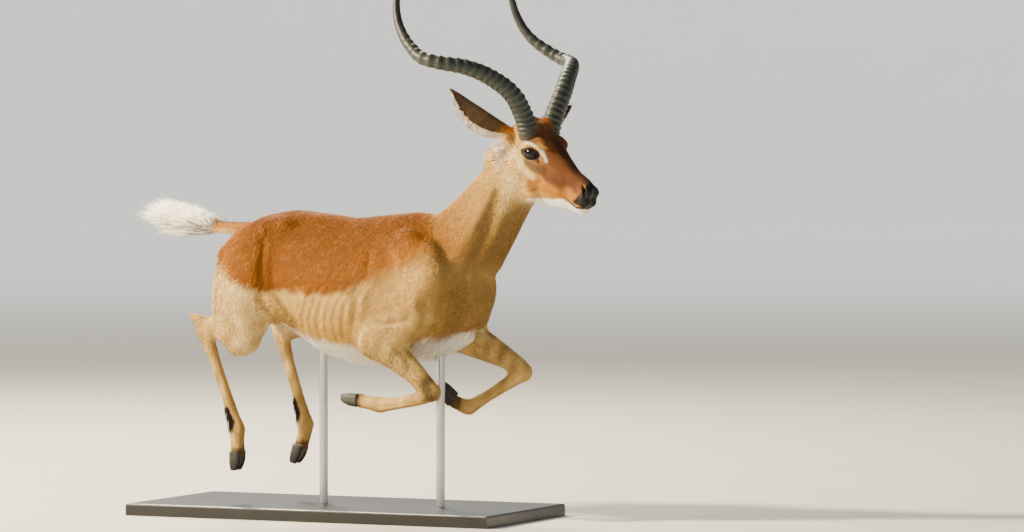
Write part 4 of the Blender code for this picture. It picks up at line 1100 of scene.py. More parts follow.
def ear_colour(points, normals, side):
    root, tip = (np.array(row[:3]) for row in BONES["ear_" + side])
    reach = tip - root
    along = (points - root) @ reach / (reach @ reach)
    middle = root + reach * np.clip(along, 0.0, 1.0)[:, None] + EAR_OPEN[side] * EAR_CUP
    cupped = smooth_step(-0.05, 0.25, (unit(middle - points) * normals).sum(1))
    outside = mix(linear("#4C3A20"), BLACK, smooth_step(EAR_TIP_FROM, EAR_TIP_FROM + 0.22, along))
    outside = mix(outside, UMBER, 0.6 * smooth_step(0.2, 0.8, along))
    outside = mix(outside, ORANGE, smooth_step(0.22, 0.0, along))
    inside = mix(WHITE, linear("#8C7A66"), 0.25 + 0.20 * wave_noise(points, 0.010, 31))
    inside = mix(inside, FAWN_PALE, smooth_step(0.18, 0.05, along))
    inside = mix(inside, BLACK, smooth_step(0.90, 0.99, along))
    return mix(outside, inside, cupped)


def rump_marks(colour, points, normals):
    # white between the buttocks, with a black line down each side of it
    x, y, z = points.T
    aside = np.abs(y)
    behind = smooth_step(-0.40, -0.65, normals[:, 0])
    behind = behind * smooth_step(-0.26, -0.30, x) * smooth_step(0.44, 0.48, z)
    colour = mix(colour, WHITE, behind * smooth_step(0.056, 0.046, aside) * smooth_step(0.700, 0.670, z))
    waver = 0.0015 * wave_noise(points, 0.02, 61)
    stripe = band(row_gap(np.column_stack((aside, z)), RUMP_STRIPE)[0] + waver, 0.0065, 0.0025)
    return mix(colour, BLACK, behind * stripe)


def leg_colour(points, normals, part):
    z = points[:, 2]
    side = SIDES[part.split("_")[1]]
    colour = mix(FAWN_PALE, FAWN_SHADE, 0.50 + 0.30 * wave_noise(points, 0.05, 41))
    inner = smooth_step(0.35, 0.80, -normals[:, 1] * side)
    inner = inner * smooth_step(0.43, 0.49, z) * smooth_step(0.56, 0.50, z)
    if "shin" in part:
        ahead = smooth_step(0.3, 0.9, normals[:, 0] if part.startswith("hind") else -normals[:, 2])
        colour = mix(colour, linear("#A8743C"), 0.5 * ahead)
    elif part.startswith("thigh"):
        # the thigh is paler than the flank: partly its coat, partly painted sunlight
        colour = mix(THIGH_PALE_AND_SUNLIT, FAWN, 0.3 + 0.3 * wave_noise(points, 0.06, 42))
    elif part.startswith("foreleg"):
        colour = mix(colour, ORANGE, 0.6 * smooth_step(0.50, 0.62, z))
    if part in ("foreleg_right", "foreshin_right"):
        colour = mix(colour, UMBER, 0.75 * row_band(points, KNEE_PATCH, 0.013, 0.010))
    if part in HEEL_TUFTS:
        heel = row_band(points, HEEL_TUFTS[part], 0.0085, 0.0030)
        colour = mix(colour, BLACK, heel * smooth_step(0.25, -0.25, normals[:, 0]))
    colour = mix(colour, UMBER, 0.8 * smooth_step(0.012, 0.004, hoof_gap(points)))
    return mix(colour, CREAM, inner)


def hoof_gap(points):
    gap = np.full(len(points), 9.0)
    for hoof in HOOVES:
        low, high = (np.array(corner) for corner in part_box(hoof))
        outside = np.maximum(np.maximum(low - points, points - high), 0.0)
        gap = np.minimum(gap, np.linalg.norm(outside, axis=1))
    return gap


def tail_colour(points, normals):
    ripple = 0.006 * wave_noise(points, 0.02, 51)
    colour = mix(ORANGE, FAWN_PALE, smooth_step(0.2, -0.5, normals[:, 2]))
    dark = bump(np.abs(points[:, 1]), 0.008) * smooth_step(0.5, 0.9, normals[:, 2])
    colour = mix(colour, BLACK, 0.8 * dark)
    return mix(colour, WHITE, smooth_step(-0.375, -0.415, points[:, 0] + ripple))


def coat_colour(points, normals, shares):
    colour = np.zeros((len(points), 3))
    for part in PARTS:
        used = shares[part] > 0.002
        if not used.any():
            continue
        near, facing = points[used], normals[used]
        if part == "face":
            tone = face_colour(near, facing)
        elif part.startswith("ear"):
            tone = ear_colour(near, facing, part[4:])
        elif part == "neck":
            tone = neck_colour(near, facing)
        elif part == "trunk":
            tone = rump_marks(trunk_colour(near), near, facing)
        elif part == "tail":
            tone = tail_colour(near, facing)
        else:
            tone = leg_colour(near, facing, part)
            if "shin" not in part:
                tone = mix(tone, trunk_colour(near), smooth_step(0.50, 0.57, near[:, 2]))
            if part.startswith("thigh"):
                tone = rump_marks(tone, near, facing)
        colour[used] += tone * shares[part][used, None]
    return colour


def paint(mesh, colours):
    layer = mesh.color_attributes.new("markings", "FLOAT_COLOR", "POINT")
    opaque = np.column_stack((colours, np.ones(len(colours))))
    layer.data.foreach_set("color", opaque.astype(np.float32).ravel())


paint(hide_mesh, coat_colour(points, normals, shares))
print("markings painted on", len(points), "points of the hide")

# %% [markdown]
# ## The hide's own skin and short hair
#
# Short hair that lies flat shows as a fine sheen of strokes, so on the hide it is a bump: noise
# stretched along the hair. Noise can only stretch along fixed directions, so the hide carries
# three of them (trunk, neck and face, and legs) and a few attributes that say how much each
# counts. The nose leather is bare and grained instead.

# %% Material of the hide
def share_layer(mesh, name, values):
    layer = mesh.attributes.new(name, "FLOAT", "POINT")
    layer.data.foreach_set("value", np.clip(values, 0.0, 1.0).astype(np.float32))


HAIR_STRETCH = 12.0
HAIR_GLOSS = 0.25
HAIR_LIE = {
    # part: (downward slope of the hair in degrees, strokes per metre)
    "trunk": (-41.0, 800.0),
    "neck": (-52.0, 800.0),
    "legs": (-100.0, 1040.0),
}
LEATHER_GRAIN = 700.0
HAIR_ROUGHNESS = 0.74
LEATHER_ROUGHNESS = 0.42


def hair_strokes(tree, place, slope, fineness):
    # noise drawn out along the hair: the mapping turns the hair's direction onto X and stretches X
    turn = (0.0, math.radians(slope), 0.0)
    size = (HAIR_STRETCH / fineness, 1.0 / fineness, 1.0 / fineness)
    turned = add(tree, "ShaderNodeMapping", {"Vector": place, "Rotation": turn, "Scale": size},
                 vector_type="TEXTURE")
    strokes = add(tree, "ShaderNodeTexNoise", {"Vector": turned.outputs["Vector"], "Scale": 1.0,
                                               "Detail": 3.0, "Roughness": 0.65})
    return strokes.outputs["Fac"]


def hide_material():
    # short, flat hair over skin: strokes of relief and tone, and smoother leather where it is bare
    material, tree = new_material("short_flat_hair_on_hide")
    place = object_place(tree)
    bare = attribute(tree, "bare")
    trunk, neck, legs = (hair_strokes(tree, place, *lie) for lie in HAIR_LIE.values())
    strokes = mixed(tree, "FLOAT", attribute(tree, "on_neck"), trunk, neck)
    strokes = mixed(tree, "FLOAT", attribute(tree, "on_legs"), strokes, legs)
    grain = add(tree, "ShaderNodeTexVoronoi", {"Vector": place, "Scale": LEATHER_GRAIN}).outputs["Distance"]
    height = mixed(tree, "FLOAT", bare, strokes, grain)
    tone = spread(tree, strokes, 0.78, 1.08, 0.25, 0.75)
    return finish_material(material, {"Base Color": scaled(tree, attribute(tree, "markings", "Color"), tone),
                                      "Roughness": spread(tree, bare, HAIR_ROUGHNESS, LEATHER_ROUGHNESS),
                                      "Normal": relief(tree, height, 0.40, 0.0003),
                                      "Specular IOR Level": HAIR_GLOSS})


head_place = to_head(points)
bare_skin = smooth_step(-0.003, 0.003, head_place[:, 0] - NOSE_FROM - 0.004)
bare_skin *= smooth_step(-0.050, -0.046, head_place[:, 2])
for side in EYES:
    bare_skin = np.maximum(bare_skin, band(eye_gap(points, side), 0.0030, 0.0010))
share_layer(hide_mesh, "on_neck", shares["neck"] + shares["face"])
share_layer(hide_mesh, "on_legs", sum(shares[part] for part in PARTS if "leg" in part or "sh" in part))
share_layer(hide_mesh, "bare", bare_skin)
hide = new_object("hide", hide_mesh, hide_material())
place_on_frame(hide, FLESH + ["tail"])
print("the hide has", len(hide_mesh.attributes), "attributes and", len(hide_mesh.materials), "material")

# %% [markdown]
# ## Which way the coat lies
#
# On an antelope the hair streams back from the nose, over the crown, down the neck and along the
# flank, and down the legs. The bones give a rough direction at every point of the hide. Taking
# out the part that points into the body and averaging each direction with its neighbours a few
# dozen times makes the streams bend smoothly round the shoulder, the elbow and the thigh.

# %% Flow of the hair over the hide
FLOW_ROUNDS = 40
TRUNK_FLOW = unit(np.array((-0.78, 0.0, -0.62)))


def flow_of_hair():
    high = smooth_step(0.50, 0.60, points[:, 2])[:, None]
    flow = np.zeros(points.shape)
    for part in PARTS:
        way = ways[part]
        if part == "trunk":
            way = np.broadcast_to(TRUNK_FLOW, points.shape)
        elif part.startswith(("foreleg", "thigh")):
            way = way * (1.0 - high) + TRUNK_FLOW * high
        flow += shares[part][:, None] * way
    for turn in range(FLOW_ROUNDS):
        flow = 0.5 * flow + 0.5 * neighbour_mean(flow, edges)
        flow = unit(flow - normals * (flow * normals).sum(1, keepdims=True))
    return flow


flow = flow_of_hair()
print("hair directions settled after", FLOW_ROUNDS, "rounds")

# %% [markdown]
# ## An unwrap for baking
#
# So that the coat's colours can be baked, the hide and its tufts share one unwrap called OFBake.
# Cutting the hide into charts by the angle of its faces keeps the charts true to its own shape.
# Each tuft then takes a small patch round the place of its root.

# %% Unwrap the hide
UNWRAP_ANGLE = math.radians(66.0)
ISLAND_GAP = 0.002


def unwrap(piece):
    piece.data.uv_layers.new(name="OFBake")
    bpy.context.view_layer.objects.active = piece
    piece.select_set(True)
    bpy.ops.object.mode_set(mode="EDIT")
    bpy.ops.mesh.select_all(action="SELECT")
    bpy.ops.uv.smart_project(angle_limit=UNWRAP_ANGLE, island_margin=ISLAND_GAP)
    bpy.ops.object.mode_set(mode="OBJECT")
    piece.select_set(False)


unwrap(hide)
hide_uv = read(hide_mesh.uv_layers["OFBake"].uv, "vector", 2)
print("unwrapped", len(hide_uv) // 3, "triangles into", hide_uv.min(0).round(2), "to",
      hide_uv.max(0).round(2))

# %% [markdown]
# ## Tufts
#
# A few hairs that cling together make a tuft: thin, slightly arched, rooted in the skin and
# lying along the body. Each is a closed solid of a root triangle, a middle triangle and a tip.
# Particles would be quicker to grow but do not export. The roots are drawn at random, more of
# them where the hair is short. Each part of the body has its own length, width and depth of hair:
# shortest on the face, short on the ears and shins, longest on the neck.

# %% Grow tufts as solid meshes
TUFT_FACES = np.array([(0, 2, 1), (0, 1, 4), (0, 4, 3), (1, 2, 5), (1, 5, 4), (2, 0, 3), (2, 3, 5),
                       (3, 4, 6), (4, 5, 6), (5, 3, 6)])
TUFT_CORNERS = 7
PATCH = 0.003
PATCH_PLACES = PATCH * np.array([(-0.4, -0.4), (0.4, -0.4), (0.0, -0.1), (-0.3, 0.1), (0.3, 0.1),
                                 (0.0, 0.2), (0.0, 0.5)])
CORNER_SHADES = np.array((0.90, 0.90, 0.90, 1.0, 1.0, 1.04, 1.06))
BRIGHTEST = 0.95
SUNK = 0.0007
MIDDLE_ALONG = 0.45
MIDDLE_RISE = 0.75
TIP_RISE = 0.9
ROOT_WIDTH = 0.8
THICKNESS = 0.35
ODD_TUFTS = 0.04
ODD_SHADE = 0.18
random = np.random.default_rng(7)

triangles = read(hide_mesh.polygons, "vertices", 3).astype(int)
corners = points[triangles]
areas = np.linalg.norm(np.cross(corners[:, 1] - corners[:, 0], corners[:, 2] - corners[:, 0]), axis=1) / 2.0


def draw_roots(count, weight):
    # random places on the hide, drawn by area and by a weight per point
    chance = areas * weight[triangles].mean(1)
    chosen = random.choice(len(triangles), count, p=chance / chance.sum())
    shares_of_corners = random.dirichlet((1.0, 1.0, 1.0), count)

    def blend(values):
        return (values[triangles[chosen]] * shares_of_corners[:, :, None]).sum(1)

    uv = (hide_uv.reshape(-1, 3, 2)[chosen] * shares_of_corners[:, :, None]).sum(1)
    return {"place": blend(points), "normal": unit(blend(normals)), "flow": unit(blend(flow)), "uv": uv}


def tuft_mesh(name, roots, length, width, rise, stray, shade, tip_rise=None):
    # length, width and rise (height of the tuft over the skin) per tuft in metres
    count = len(roots["place"])
    normal = roots["normal"]
    way = roots["flow"] + random.normal(scale=stray, size=(count, 3))
    way = unit(way - normal * (way * normal).sum(1, keepdims=True))
    across = np.cross(normal, way)
    rise, length, width = (np.broadcast_to(value, count)[:, None] for value in (rise, length, width))
    end_rise = rise * TIP_RISE if tip_rise is None else np.broadcast_to(tip_rise, count)[:, None]
    base = roots["place"] - normal * SUNK
    middle = base + way * length * MIDDLE_ALONG + normal * (rise * MIDDLE_RISE + SUNK)
    tip = base + way * length + normal * (end_rise + SUNK)
    half = across * width * 0.5
    thick = normal * width * THICKNESS
    places = np.stack((base - half * ROOT_WIDTH, base + half * ROOT_WIDTH, base + thick,
                       middle - half, middle + half, middle + thick, tip), axis=1)
    colours = np.clip(roots["colour"] * shade[:, None], 0.0, BRIGHTEST)[:, None, :]
    colours = colours * CORNER_SHADES[None, :, None]
    faces = (TUFT_FACES[None] + (np.arange(count) * TUFT_CORNERS)[:, None, None]).reshape(-1, 3)
    mesh = bpy.data.meshes.new(name)
    mesh.vertices.add(count * TUFT_CORNERS)
    mesh.vertices.foreach_set("co", places.astype(np.float32).ravel())
    mesh.loops.add(len(faces) * 3)
    mesh.loops.foreach_set("vertex_index", faces.astype(np.int32).ravel())
    mesh.polygons.add(len(faces))
    mesh.polygons.foreach_set("loop_start", np.arange(0, len(faces) * 3, 3, dtype=np.int32))
    mesh.update(calc_edges=True)
    paint(mesh, colours.reshape(-1, 3))
    patches = (roots["uv"][:, None] + PATCH_PLACES[None]).reshape(-1, 2)
    layer = mesh.uv_layers.new(name="OFBake")
    layer.uv.foreach_set("vector", patches[faces.ravel()].astype(np.float32).ravel())
    return mesh


# the tufts wear the markings of the hide under them, with the same gloss
HAIR = marked_material("tufts_of_hair", 0.60, HAIR_GLOSS)


def coat_piece(name, roots, length, width, rise, stray=0.06, variety=0.07, tip_rise=None):
    if "colour" not in roots:
        roots["colour"] = coat_colour(roots["place"], roots["normal"], part_shares(roots["place"])[0])
    count = len(roots["place"])
    shade = 1.0 + random.normal(scale=variety, size=count) - ODD_SHADE * (random.random(count) < ODD_TUFTS)
    mesh = tuft_mesh(name, roots, length, width, rise, stray, shade, tip_rise)
    place_on_frame(new_object(name, mesh, HAIR))


print("a tuft has", len(TUFT_FACES), "triangles and", TUFT_CORNERS, "corners")

# %% Cover the body: number of tufts, then length, width and rise in millimetres
OVERLAP = 0.004
HALF_HEIGHT = (0.555, 0.565)
CLEAR_OF_LIDS = (0.0025, 0.0060)
CLEAR_OF_HORNS = (0.026, 0.020)
side_left = smooth_step(-OVERLAP, OVERLAP, points[:, 1])
top_half = smooth_step(*HALF_HEIGHT, points[:, 2])
bare_near_eyes = np.ones(len(points))
under_horn = np.zeros(len(points))
for name, side in SIDES.items():
    bare_near_eyes *= smooth_step(*CLEAR_OF_LIDS, eye_gap(points, name))
    from_base = np.linalg.norm(points - horn_base(side), axis=1)
    under_horn = np.maximum(under_horn, smooth_step(*CLEAR_OF_HORNS, from_base))
on_nose = smooth_step(NOSE_FROM - OVERLAP, NOSE_FROM + OVERLAP, head_place[:, 0]) * (shares["face"] > 0.5)
clear = (1.0 - under_horn) * ~inside_hooves(points)
COVER = {
    "coat_back_right": ("trunk", (1.0 - side_left) * top_half, 15000, 13.0, 1.1, 1.1),
    "coat_back_left": ("trunk", side_left * top_half, 11000, 13.0, 1.1, 1.1),
    "coat_belly_right": ("trunk", (1.0 - side_left) * (1.0 - top_half), 12000, 13.0, 1.1, 1.1),
    "coat_belly_left": ("trunk", side_left * (1.0 - top_half), 8000, 13.0, 1.1, 1.1),
    "coat_neck": ("neck", 1.0, 17000, 17.0, 1.4, 2.3),
    "coat_thigh_right": ("thigh_right", 1.0, 9500, 13.0, 1.2, 1.3),
    "coat_thigh_left": ("thigh_left", 1.0, 5500, 13.0, 1.3, 1.3),
    "coat_foreleg_right": ("foreleg_right", 1.0, 8500, 9.0, 1.0, 1.0),
    "coat_foreleg_left": ("foreleg_left", 1.0, 6000, 9.0, 1.1, 1.0),
    "coat_shank_right": ("shank_right", 1.0, 3000, 8.0, 0.9, 0.8),
    "coat_shank_left": ("shank_left", 1.0, 2500, 8.0, 0.9, 0.8),
    "coat_foreshin_right": ("foreshin_right", 1.0, 3000, 6.0, 0.8, 0.6),
    "coat_foreshin_left": ("foreshin_left", 1.0, 2500, 6.0, 0.8, 0.6),
    "coat_hindshin_right": ("hindshin_right", 1.0, 3200, 6.0, 0.8, 0.6),
    "coat_hindshin_left": ("hindshin_left", 1.0, 3200, 6.0, 0.8, 0.6),
    "coat_face": ("face", bare_near_eyes * (1.0 - on_nose), 17000, 4.2, 0.48, 0.45),
    "coat_tail_root": ("tail", 1.0, 2000, 9.0, 0.9, 0.9),
    "coat_ear_right": ("ear_right", 1.0, 4000, 6.0, 0.7, 0.5),
    "coat_ear_left": ("ear_left", 1.0, 3000, 6.0, 0.7, 0.5),
}
MILLIMETRE = 0.001
TUFT_SIZES = (0.75, 1.2)
TUFT_RISES = (0.60, 1.00)

for name, (part, where, count, length, width, rise) in COVER.items():
    roots = draw_roots(count, shares[part] * where * clear)
    size = random.uniform(*TUFT_SIZES, count)
    coat_piece(name, roots, length * MILLIMETRE * size, width * MILLIMETRE * size,
               rise * MILLIMETRE * random.uniform(*TUFT_RISES, count))
print(sum(row[2] for row in COVER.values()), "tufts cover the body in", len(COVER), "pieces")

# %% [markdown]
# ## Long hair
#
# Where the coat is long it leaves the body and makes the outline: the white plume of the tail,
# the fringes of the ears, the ruff behind the jaw, the black tufts above the hind fetlocks, the
# breast and the edge of the buttocks. These are the same tufts, longer and standing out more.

# %% Plume of the tail
PLUME_LOCKS = 4500
PLUME_LONG = 0.112
PLUME_SHORT = 0.034
PLUME_LEAST = 0.018
PLUME_WIDTH = (0.0016, 0.0030)
PLUME_START_X = -0.350
PLUME_FULL_X = -0.400
PLUME_GROWTH_X = (-0.320, -0.395)
PLUME_LIFT = 0.002
PLUME_LIFT_MORE = 0.004
PLUME_STRAY_CURL = 0.004
PLUME_WHITE_EARLY = (0.045, 0.0, 0.0)
PLUME_END_X = -0.600
PLUME_LOWEST = (math.radians(-24.0), math.radians(-6.0))
PLUME_STEEPEST = math.radians(66.0)
PLUME_FAN = 0.13
PLUME_CURL = 0.022


def plume_roots():
    # every lock has its own slope: the flat ones are long and curl up at the tip, the steep ones short
    roots = draw_roots(PLUME_LOCKS, shares["tail"] * smooth_step(PLUME_START_X, PLUME_FULL_X, points[:, 0]))
    along = (roots["place"][:, 0] - PLUME_START_X) / (BONES["tail"][-1][0] - PLUME_START_X)
    roots["steep"] = random.random(PLUME_LOCKS) ** 1.2
    lowest = np.interp(along, (0.0, 1.0), PLUME_LOWEST)
    slope = lowest + (PLUME_STEEPEST - lowest) * roots["steep"]
    across = random.normal(scale=PLUME_FAN, size=PLUME_LOCKS)
    roots["flow"] = unit(np.column_stack((-np.cos(slope), across, np.sin(slope))))
    roots["normal"] = np.column_stack((np.sin(slope), 0.0 * slope, np.cos(slope)))
    return roots


def plume_lengths(roots):
    # the locks near the plume's start are shorter, and none reaches past its rear end
    x = roots["place"][:, 0]
    length = PLUME_LONG + (PLUME_SHORT - PLUME_LONG) * roots["steep"]
    length *= random.uniform(0.75, 1.15, PLUME_LOCKS) * smooth_step(*PLUME_GROWTH_X, x)
    return np.clip(length, PLUME_LEAST, (x - PLUME_END_X) / np.maximum(-roots["flow"][:, 0], 0.5))


plume = plume_roots()
plume_length = plume_lengths(plume)
plume["colour"] = tail_colour(plume["place"] - PLUME_WHITE_EARLY, plume["normal"])
plume_curl = PLUME_CURL * (1.0 - plume["steep"])
plume_curl = plume_curl + random.normal(scale=PLUME_STRAY_CURL, size=PLUME_LOCKS)
plume_width = random.uniform(*PLUME_WIDTH, PLUME_LOCKS)
plume_lift = PLUME_LIFT + PLUME_LIFT_MORE * random.random(PLUME_LOCKS)
coat_piece("coat_tail", plume, plume_length, plume_width, plume_lift, stray=0.03, variety=0.05,
           tip_rise=plume_curl)
print(PLUME_LOCKS, "locks in the tail")

# %% Fringes of the ears, ruff behind the jaw, breast, buttocks, fold of the flank, fetlocks and chin
LOCK_SIZES = (0.7, 1.25)
LOCK_STRAY = 0.15
LOCK_VARIETY = 0.08


def long_hair(name, where, count, length, width, rise, colour=None):
    # number of locks, then length, width and rise in millimetres
    roots = draw_roots(count, where)
    size = random.uniform(*LOCK_SIZES, count)
    if colour is not None:
        roots["colour"] = np.broadcast_to(colour, (count, 3))
    coat_piece(name, roots, length * MILLIMETRE * size, width * MILLIMETRE * size, rise * MILLIMETRE * size,
               stray=LOCK_STRAY, variety=LOCK_VARIETY)


def near_row(row, half_width):
    return row_band(points, row, half_width, half_width * 0.6)


def in_ear(side):
    return smooth_step(0.00, 0.35, normals @ EAR_OPEN[side]) * shares["ear_" + side]


RUFF = [(0.470, 0.925), (0.448, 0.885), (0.425, 0.850)]
BREAST = [(0.360, 0.560), (0.330, 0.480), (0.290, 0.430), (0.210, 0.415)]
FLANK_FOLD = [(-0.170, 0.545), (-0.140, 0.515), (-0.110, 0.490)]
buttock = smooth_step(-0.35, -0.75, normals[:, 0]) * smooth_step(-0.24, -0.30, points[:, 0])
buttock = buttock * smooth_step(0.48, 0.52, points[:, 2])
buttock = buttock * (shares["thigh_right"] + shares["thigh_left"] + shares["trunk"])
chin = smooth_step(0.10, 0.15, head_place[:, 0]) * smooth_step(-0.050, -0.060, head_place[:, 2])

long_hair("coat_ear_inside_right", in_ear("right"), 1500, 15.0, 0.9, 3.4)
long_hair("coat_ear_inside_left", in_ear("left"), 1000, 15.0, 0.9, 3.4)
long_hair("coat_ruff", near_row(RUFF, 0.022) * (shares["neck"] + 0.5 * shares["face"]), 1800, 22.0, 1.3, 4.0)
long_hair("coat_breast", near_row(BREAST, 0.020) * (shares["trunk"] + shares["neck"]), 1300, 20.0, 1.6, 4.5)
long_hair("coat_buttocks", buttock, 1800, 20.0, 1.8, 4.0)
long_hair("coat_flank_fold", near_row(FLANK_FOLD, 0.018), 700, 22.0, 1.6, 4.0)
for part, row in HEEL_TUFTS.items():
    heel = near_row(row, 0.010) * shares[part] * smooth_step(0.3, -0.3, normals[:, 0])
    long_hair("coat_heel_tuft_" + part.split("_")[1], heel, 350, 17.0, 1.3, 5.0, colour=BLACK * 1.4)
long_hair("coat_chin", chin * shares["face"], 400, 6.5, 0.7, 1.6)
print("long hair grown on the ears, jaw, breast, buttocks, flank, fetlocks and chin")

# %% [markdown]
# ## Horns
#
# The lyre-shaped horns are bone cores in a sheath of horn that grows a ring at a time. Rings stand
# out most on the front, fade about two thirds of the way up, and leave the tip smooth. A curve
# with a round bevel carries the sheath along the same path as the solid, since a hand-made loft
# would only repeat what the curve does. The rings are then raised on its points.

# %% Ringed horns
HORN_PATH = [(-0.004, 0.0, -0.026), (0.010, 0.0, 0.016), (0.025, 0.001, 0.042), (0.049, 0.004, 0.075),
             (0.096, 0.026, 0.115), (0.154, 0.061, 0.144), (0.210, 0.112, 0.158), (0.222, 0.150, 0.168),
             (0.212, 0.190, 0.190), (0.198, 0.230, 0.222), (0.188, 0.258, 0.265), (0.178, 0.270, 0.310),
             (0.165, 0.272, 0.366), (0.156, 0.262, 0.425), (0.152, 0.246, 0.470)]
HORN_ROOT = 0.0240
HORN_POINT = 0.0030
HORN_TAPER = 1.35
HORN_STEPS = 460
HORN_SIDES = 7
RING_FIRST = 0.0135
RING_LAST = 0.0260
RING_SHARE = 0.68
RING_HEIGHT = 0.0034
FIBRE_HEIGHT = 0.00018
SHEATH_SUNK = 0.0004
SLICE = 2000


def new_curve(name, kind, places):
    curve = bpy.data.curves.new(name, "CURVE")
    curve.dimensions = "3D"
    spline = curve.splines.new(kind)
    knots = spline.bezier_points if kind == "BEZIER" else spline.points
    knots.add(len(places) - 1)
    for knot, place in zip(knots, places):
        knot.co = place if kind == "BEZIER" else (*place, 1.0)
    return curve, knots


def horn_line(side):
    # a smooth line through the path, as evenly spaced places, and its length
    rows = np.array(HORN_PATH)
    places = horn_base(side) + FACE_LEFT * side * rows[:, :1] - LEVEL * rows[:, 1:2] + UPRIGHT * rows[:, 2:]
    curve, knots = new_curve("horn_line", "BEZIER", places)
    for knot in knots:
        knot.handle_left_type = knot.handle_right_type = "AUTO"
    curve.splines[0].resolution_u = 40
    fine = read(applied_mesh(link_object("horn_line", curve)).vertices, "co", 3)
    reach = np.concatenate(([0.0], np.cumsum(np.linalg.norm(np.diff(fine, axis=0), axis=1))))
    steps = np.linspace(0.0, reach[-1], HORN_STEPS)
    return np.column_stack([np.interp(steps, reach, fine[:, axis]) for axis in range(3)]), reach[-1]


def horn_radius(share):
    return HORN_POINT + (HORN_ROOT - HORN_POINT) * (1.0 - share ** HORN_TAPER)


def ring_wave(share, length):
    # rings are close at the base and wider apart further up; sharp crests with rounded furrows
    reach = share * length
    growth = (RING_LAST - RING_FIRST) / (length * RING_SHARE)
    turns = np.log1p(growth * reach / RING_FIRST) / growth
    crest = (0.5 + 0.5 * np.cos(turns * 2.0 * math.pi)) ** 1.6
    return crest * smooth_step(RING_SHARE + 0.05, RING_SHARE - 0.12, share) * smooth_step(0.0, 0.03, share)


def nearest_step(places, line):
    # the step of the line that each place belongs to, in slices to keep memory small
    order = np.empty(len(places), int)
    for start in range(0, len(places), SLICE):
        gaps = places[start:start + SLICE, None] - line[None]
        order[start:start + SLICE] = (gaps ** 2).sum(2).argmin(1)
    return order


def horn_mesh(name, side):
    line, length = horn_line(side)
    curve, knots = new_curve(name, "POLY", line)
    curve.bevel_depth = 1.0
    curve.bevel_resolution = HORN_SIDES
    curve.use_fill_caps = True
    share = np.linspace(0.0, 1.0, len(line))
    for knot, radius in zip(knots, horn_radius(share)):
        knot.radius = radius
    mesh = applied_mesh(link_object(name, curve))
    skin = read(mesh.vertices, "co", 3)
    order = nearest_step(skin, line)
    out = unit(skin - line[order])
    front = out @ unit(LEVEL + FACE_LEFT * side * 0.3)
    # the rings stand out most on the front and near the base, and fine fibres cover them
    at = share[order]
    wave = ring_wave(at, length)
    grain = wave_noise(skin * (1.0, 1.0, 0.4), 0.006, 61)
    raised = RING_HEIGHT * wave * (0.62 + 0.38 * front) * (0.4 + 0.6 * (1.0 - at)) + FIBRE_HEIGHT * grain
    move_points(mesh, skin + out * (raised - SHEATH_SUNK)[:, None])
    dark = mix(linear("#1F2723"), linear("#1B1A18"), smooth_step(0.45, 0.85, at))
    pale = mix(linear("#656C60"), linear("#4C4C45"), smooth_step(0.2, 0.7, at))
    # dust pales the crests, and a painted highlight makes them paler still toward the rear; the base is brown
    behind = np.clip(-out @ np.array((0.5, -0.4, 0.0)), -1.0, 1.0)
    tone = mix(dark, pale, 0.50 * wave * (0.7 + 0.5 * behind) + 0.12 * grain)
    tone = mix(tone, linear("#4A3A28"), 0.6 * smooth_step(0.05, 0.0, at))
    paint(mesh, tone)
    mesh.name = name
    return shade_smooth(mesh)


def horn_material():
    # grey, dusty horn, whose fine grain varies the tone, the gloss and the relief
    material, tree = new_material("ringed_grey_horn")
    grain = noise(tree, object_place(tree), 260.0, 4.0)
    tone = spread(tree, grain, 0.78, 1.18, 0.3, 0.7)
    return finish_material(material, {"Base Color": scaled(tree, attribute(tree, "markings", "Color"), tone),
                                      "Roughness": spread(tree, grain, 0.36, 0.62),
                                      "Normal": relief(tree, grain, 0.5, 0.0006)})


HORN = horn_material()
for side_name, side in SIDES.items():
    name = "horn_sheath_" + side_name
    horn = new_object(name, horn_mesh(name, side), HORN)
    place_on_frame(horn, ["horn_" + side_name])
    print(name, "has", len(horn.data.polygons), "faces")

# %% [markdown]
# ## Eyes
#
# An antelope's eye is a dark, wet ball with a long level pupil. Each is a full sphere as deep as
# the real one, so that the lids close on it from all sides. A thin roll of bare black skin lines
# the opening, and short lashes stand along the upper lid.

# %% Eyeballs, lid rims and lashes
PUPIL_HALF_LENGTH = 0.0080
PUPIL_HALF_HEIGHT = 0.0034
IRIS_RADIUS = 0.0135
BALL_SEGMENTS = 72
BALL_RINGS = 56
RIM_THICKNESS = 0.0012
RIM_STEPS = 72
LASHES = 70
LASHES_FROM = 0.004
LASH_STRAY = 0.0004
LASH_LENGTH = (0.004, 0.007)
LASH_WIDTH = 0.00045
WET_GLOSS = 0.3


def eyeball(side):
    gaze, inner, upper = eye_directions(side)
    bm = bmesh.new()
    turn = Matrix([[*row, 0.0] for row in np.column_stack((inner, upper, gaze))] + [[0.0, 0.0, 0.0, 1.0]])
    bmesh.ops.create_uvsphere(bm, u_segments=BALL_SEGMENTS, v_segments=BALL_RINGS, radius=EYE_SIZE,
                              matrix=Matrix.Translation(EYES[side]) @ turn)
    bmesh.ops.recalc_face_normals(bm, faces=bm.faces)
    mesh = mesh_of(bm, "eyeball_" + side)
    ray = read(mesh.vertices, "co", 3) - EYES[side]
    level_in = unit(FACE_FORWARD - gaze * (FACE_FORWARD @ gaze))
    level_up = np.cross(gaze, level_in)
    pupil = np.hypot(ray @ level_in / PUPIL_HALF_LENGTH, ray @ level_up / PUPIL_HALF_HEIGHT)
    ring = np.hypot(ray @ level_in, ray @ level_up) / IRIS_RADIUS
    tone = mix(linear("#1C0F08"), linear("#0B0705"), smooth_step(0.75, 1.05, ring))
    tone = mix(tone, linear("#020202"), smooth_step(1.25, 0.95, pupil))
    paint(mesh, tone)
    return shade_smooth(mesh)


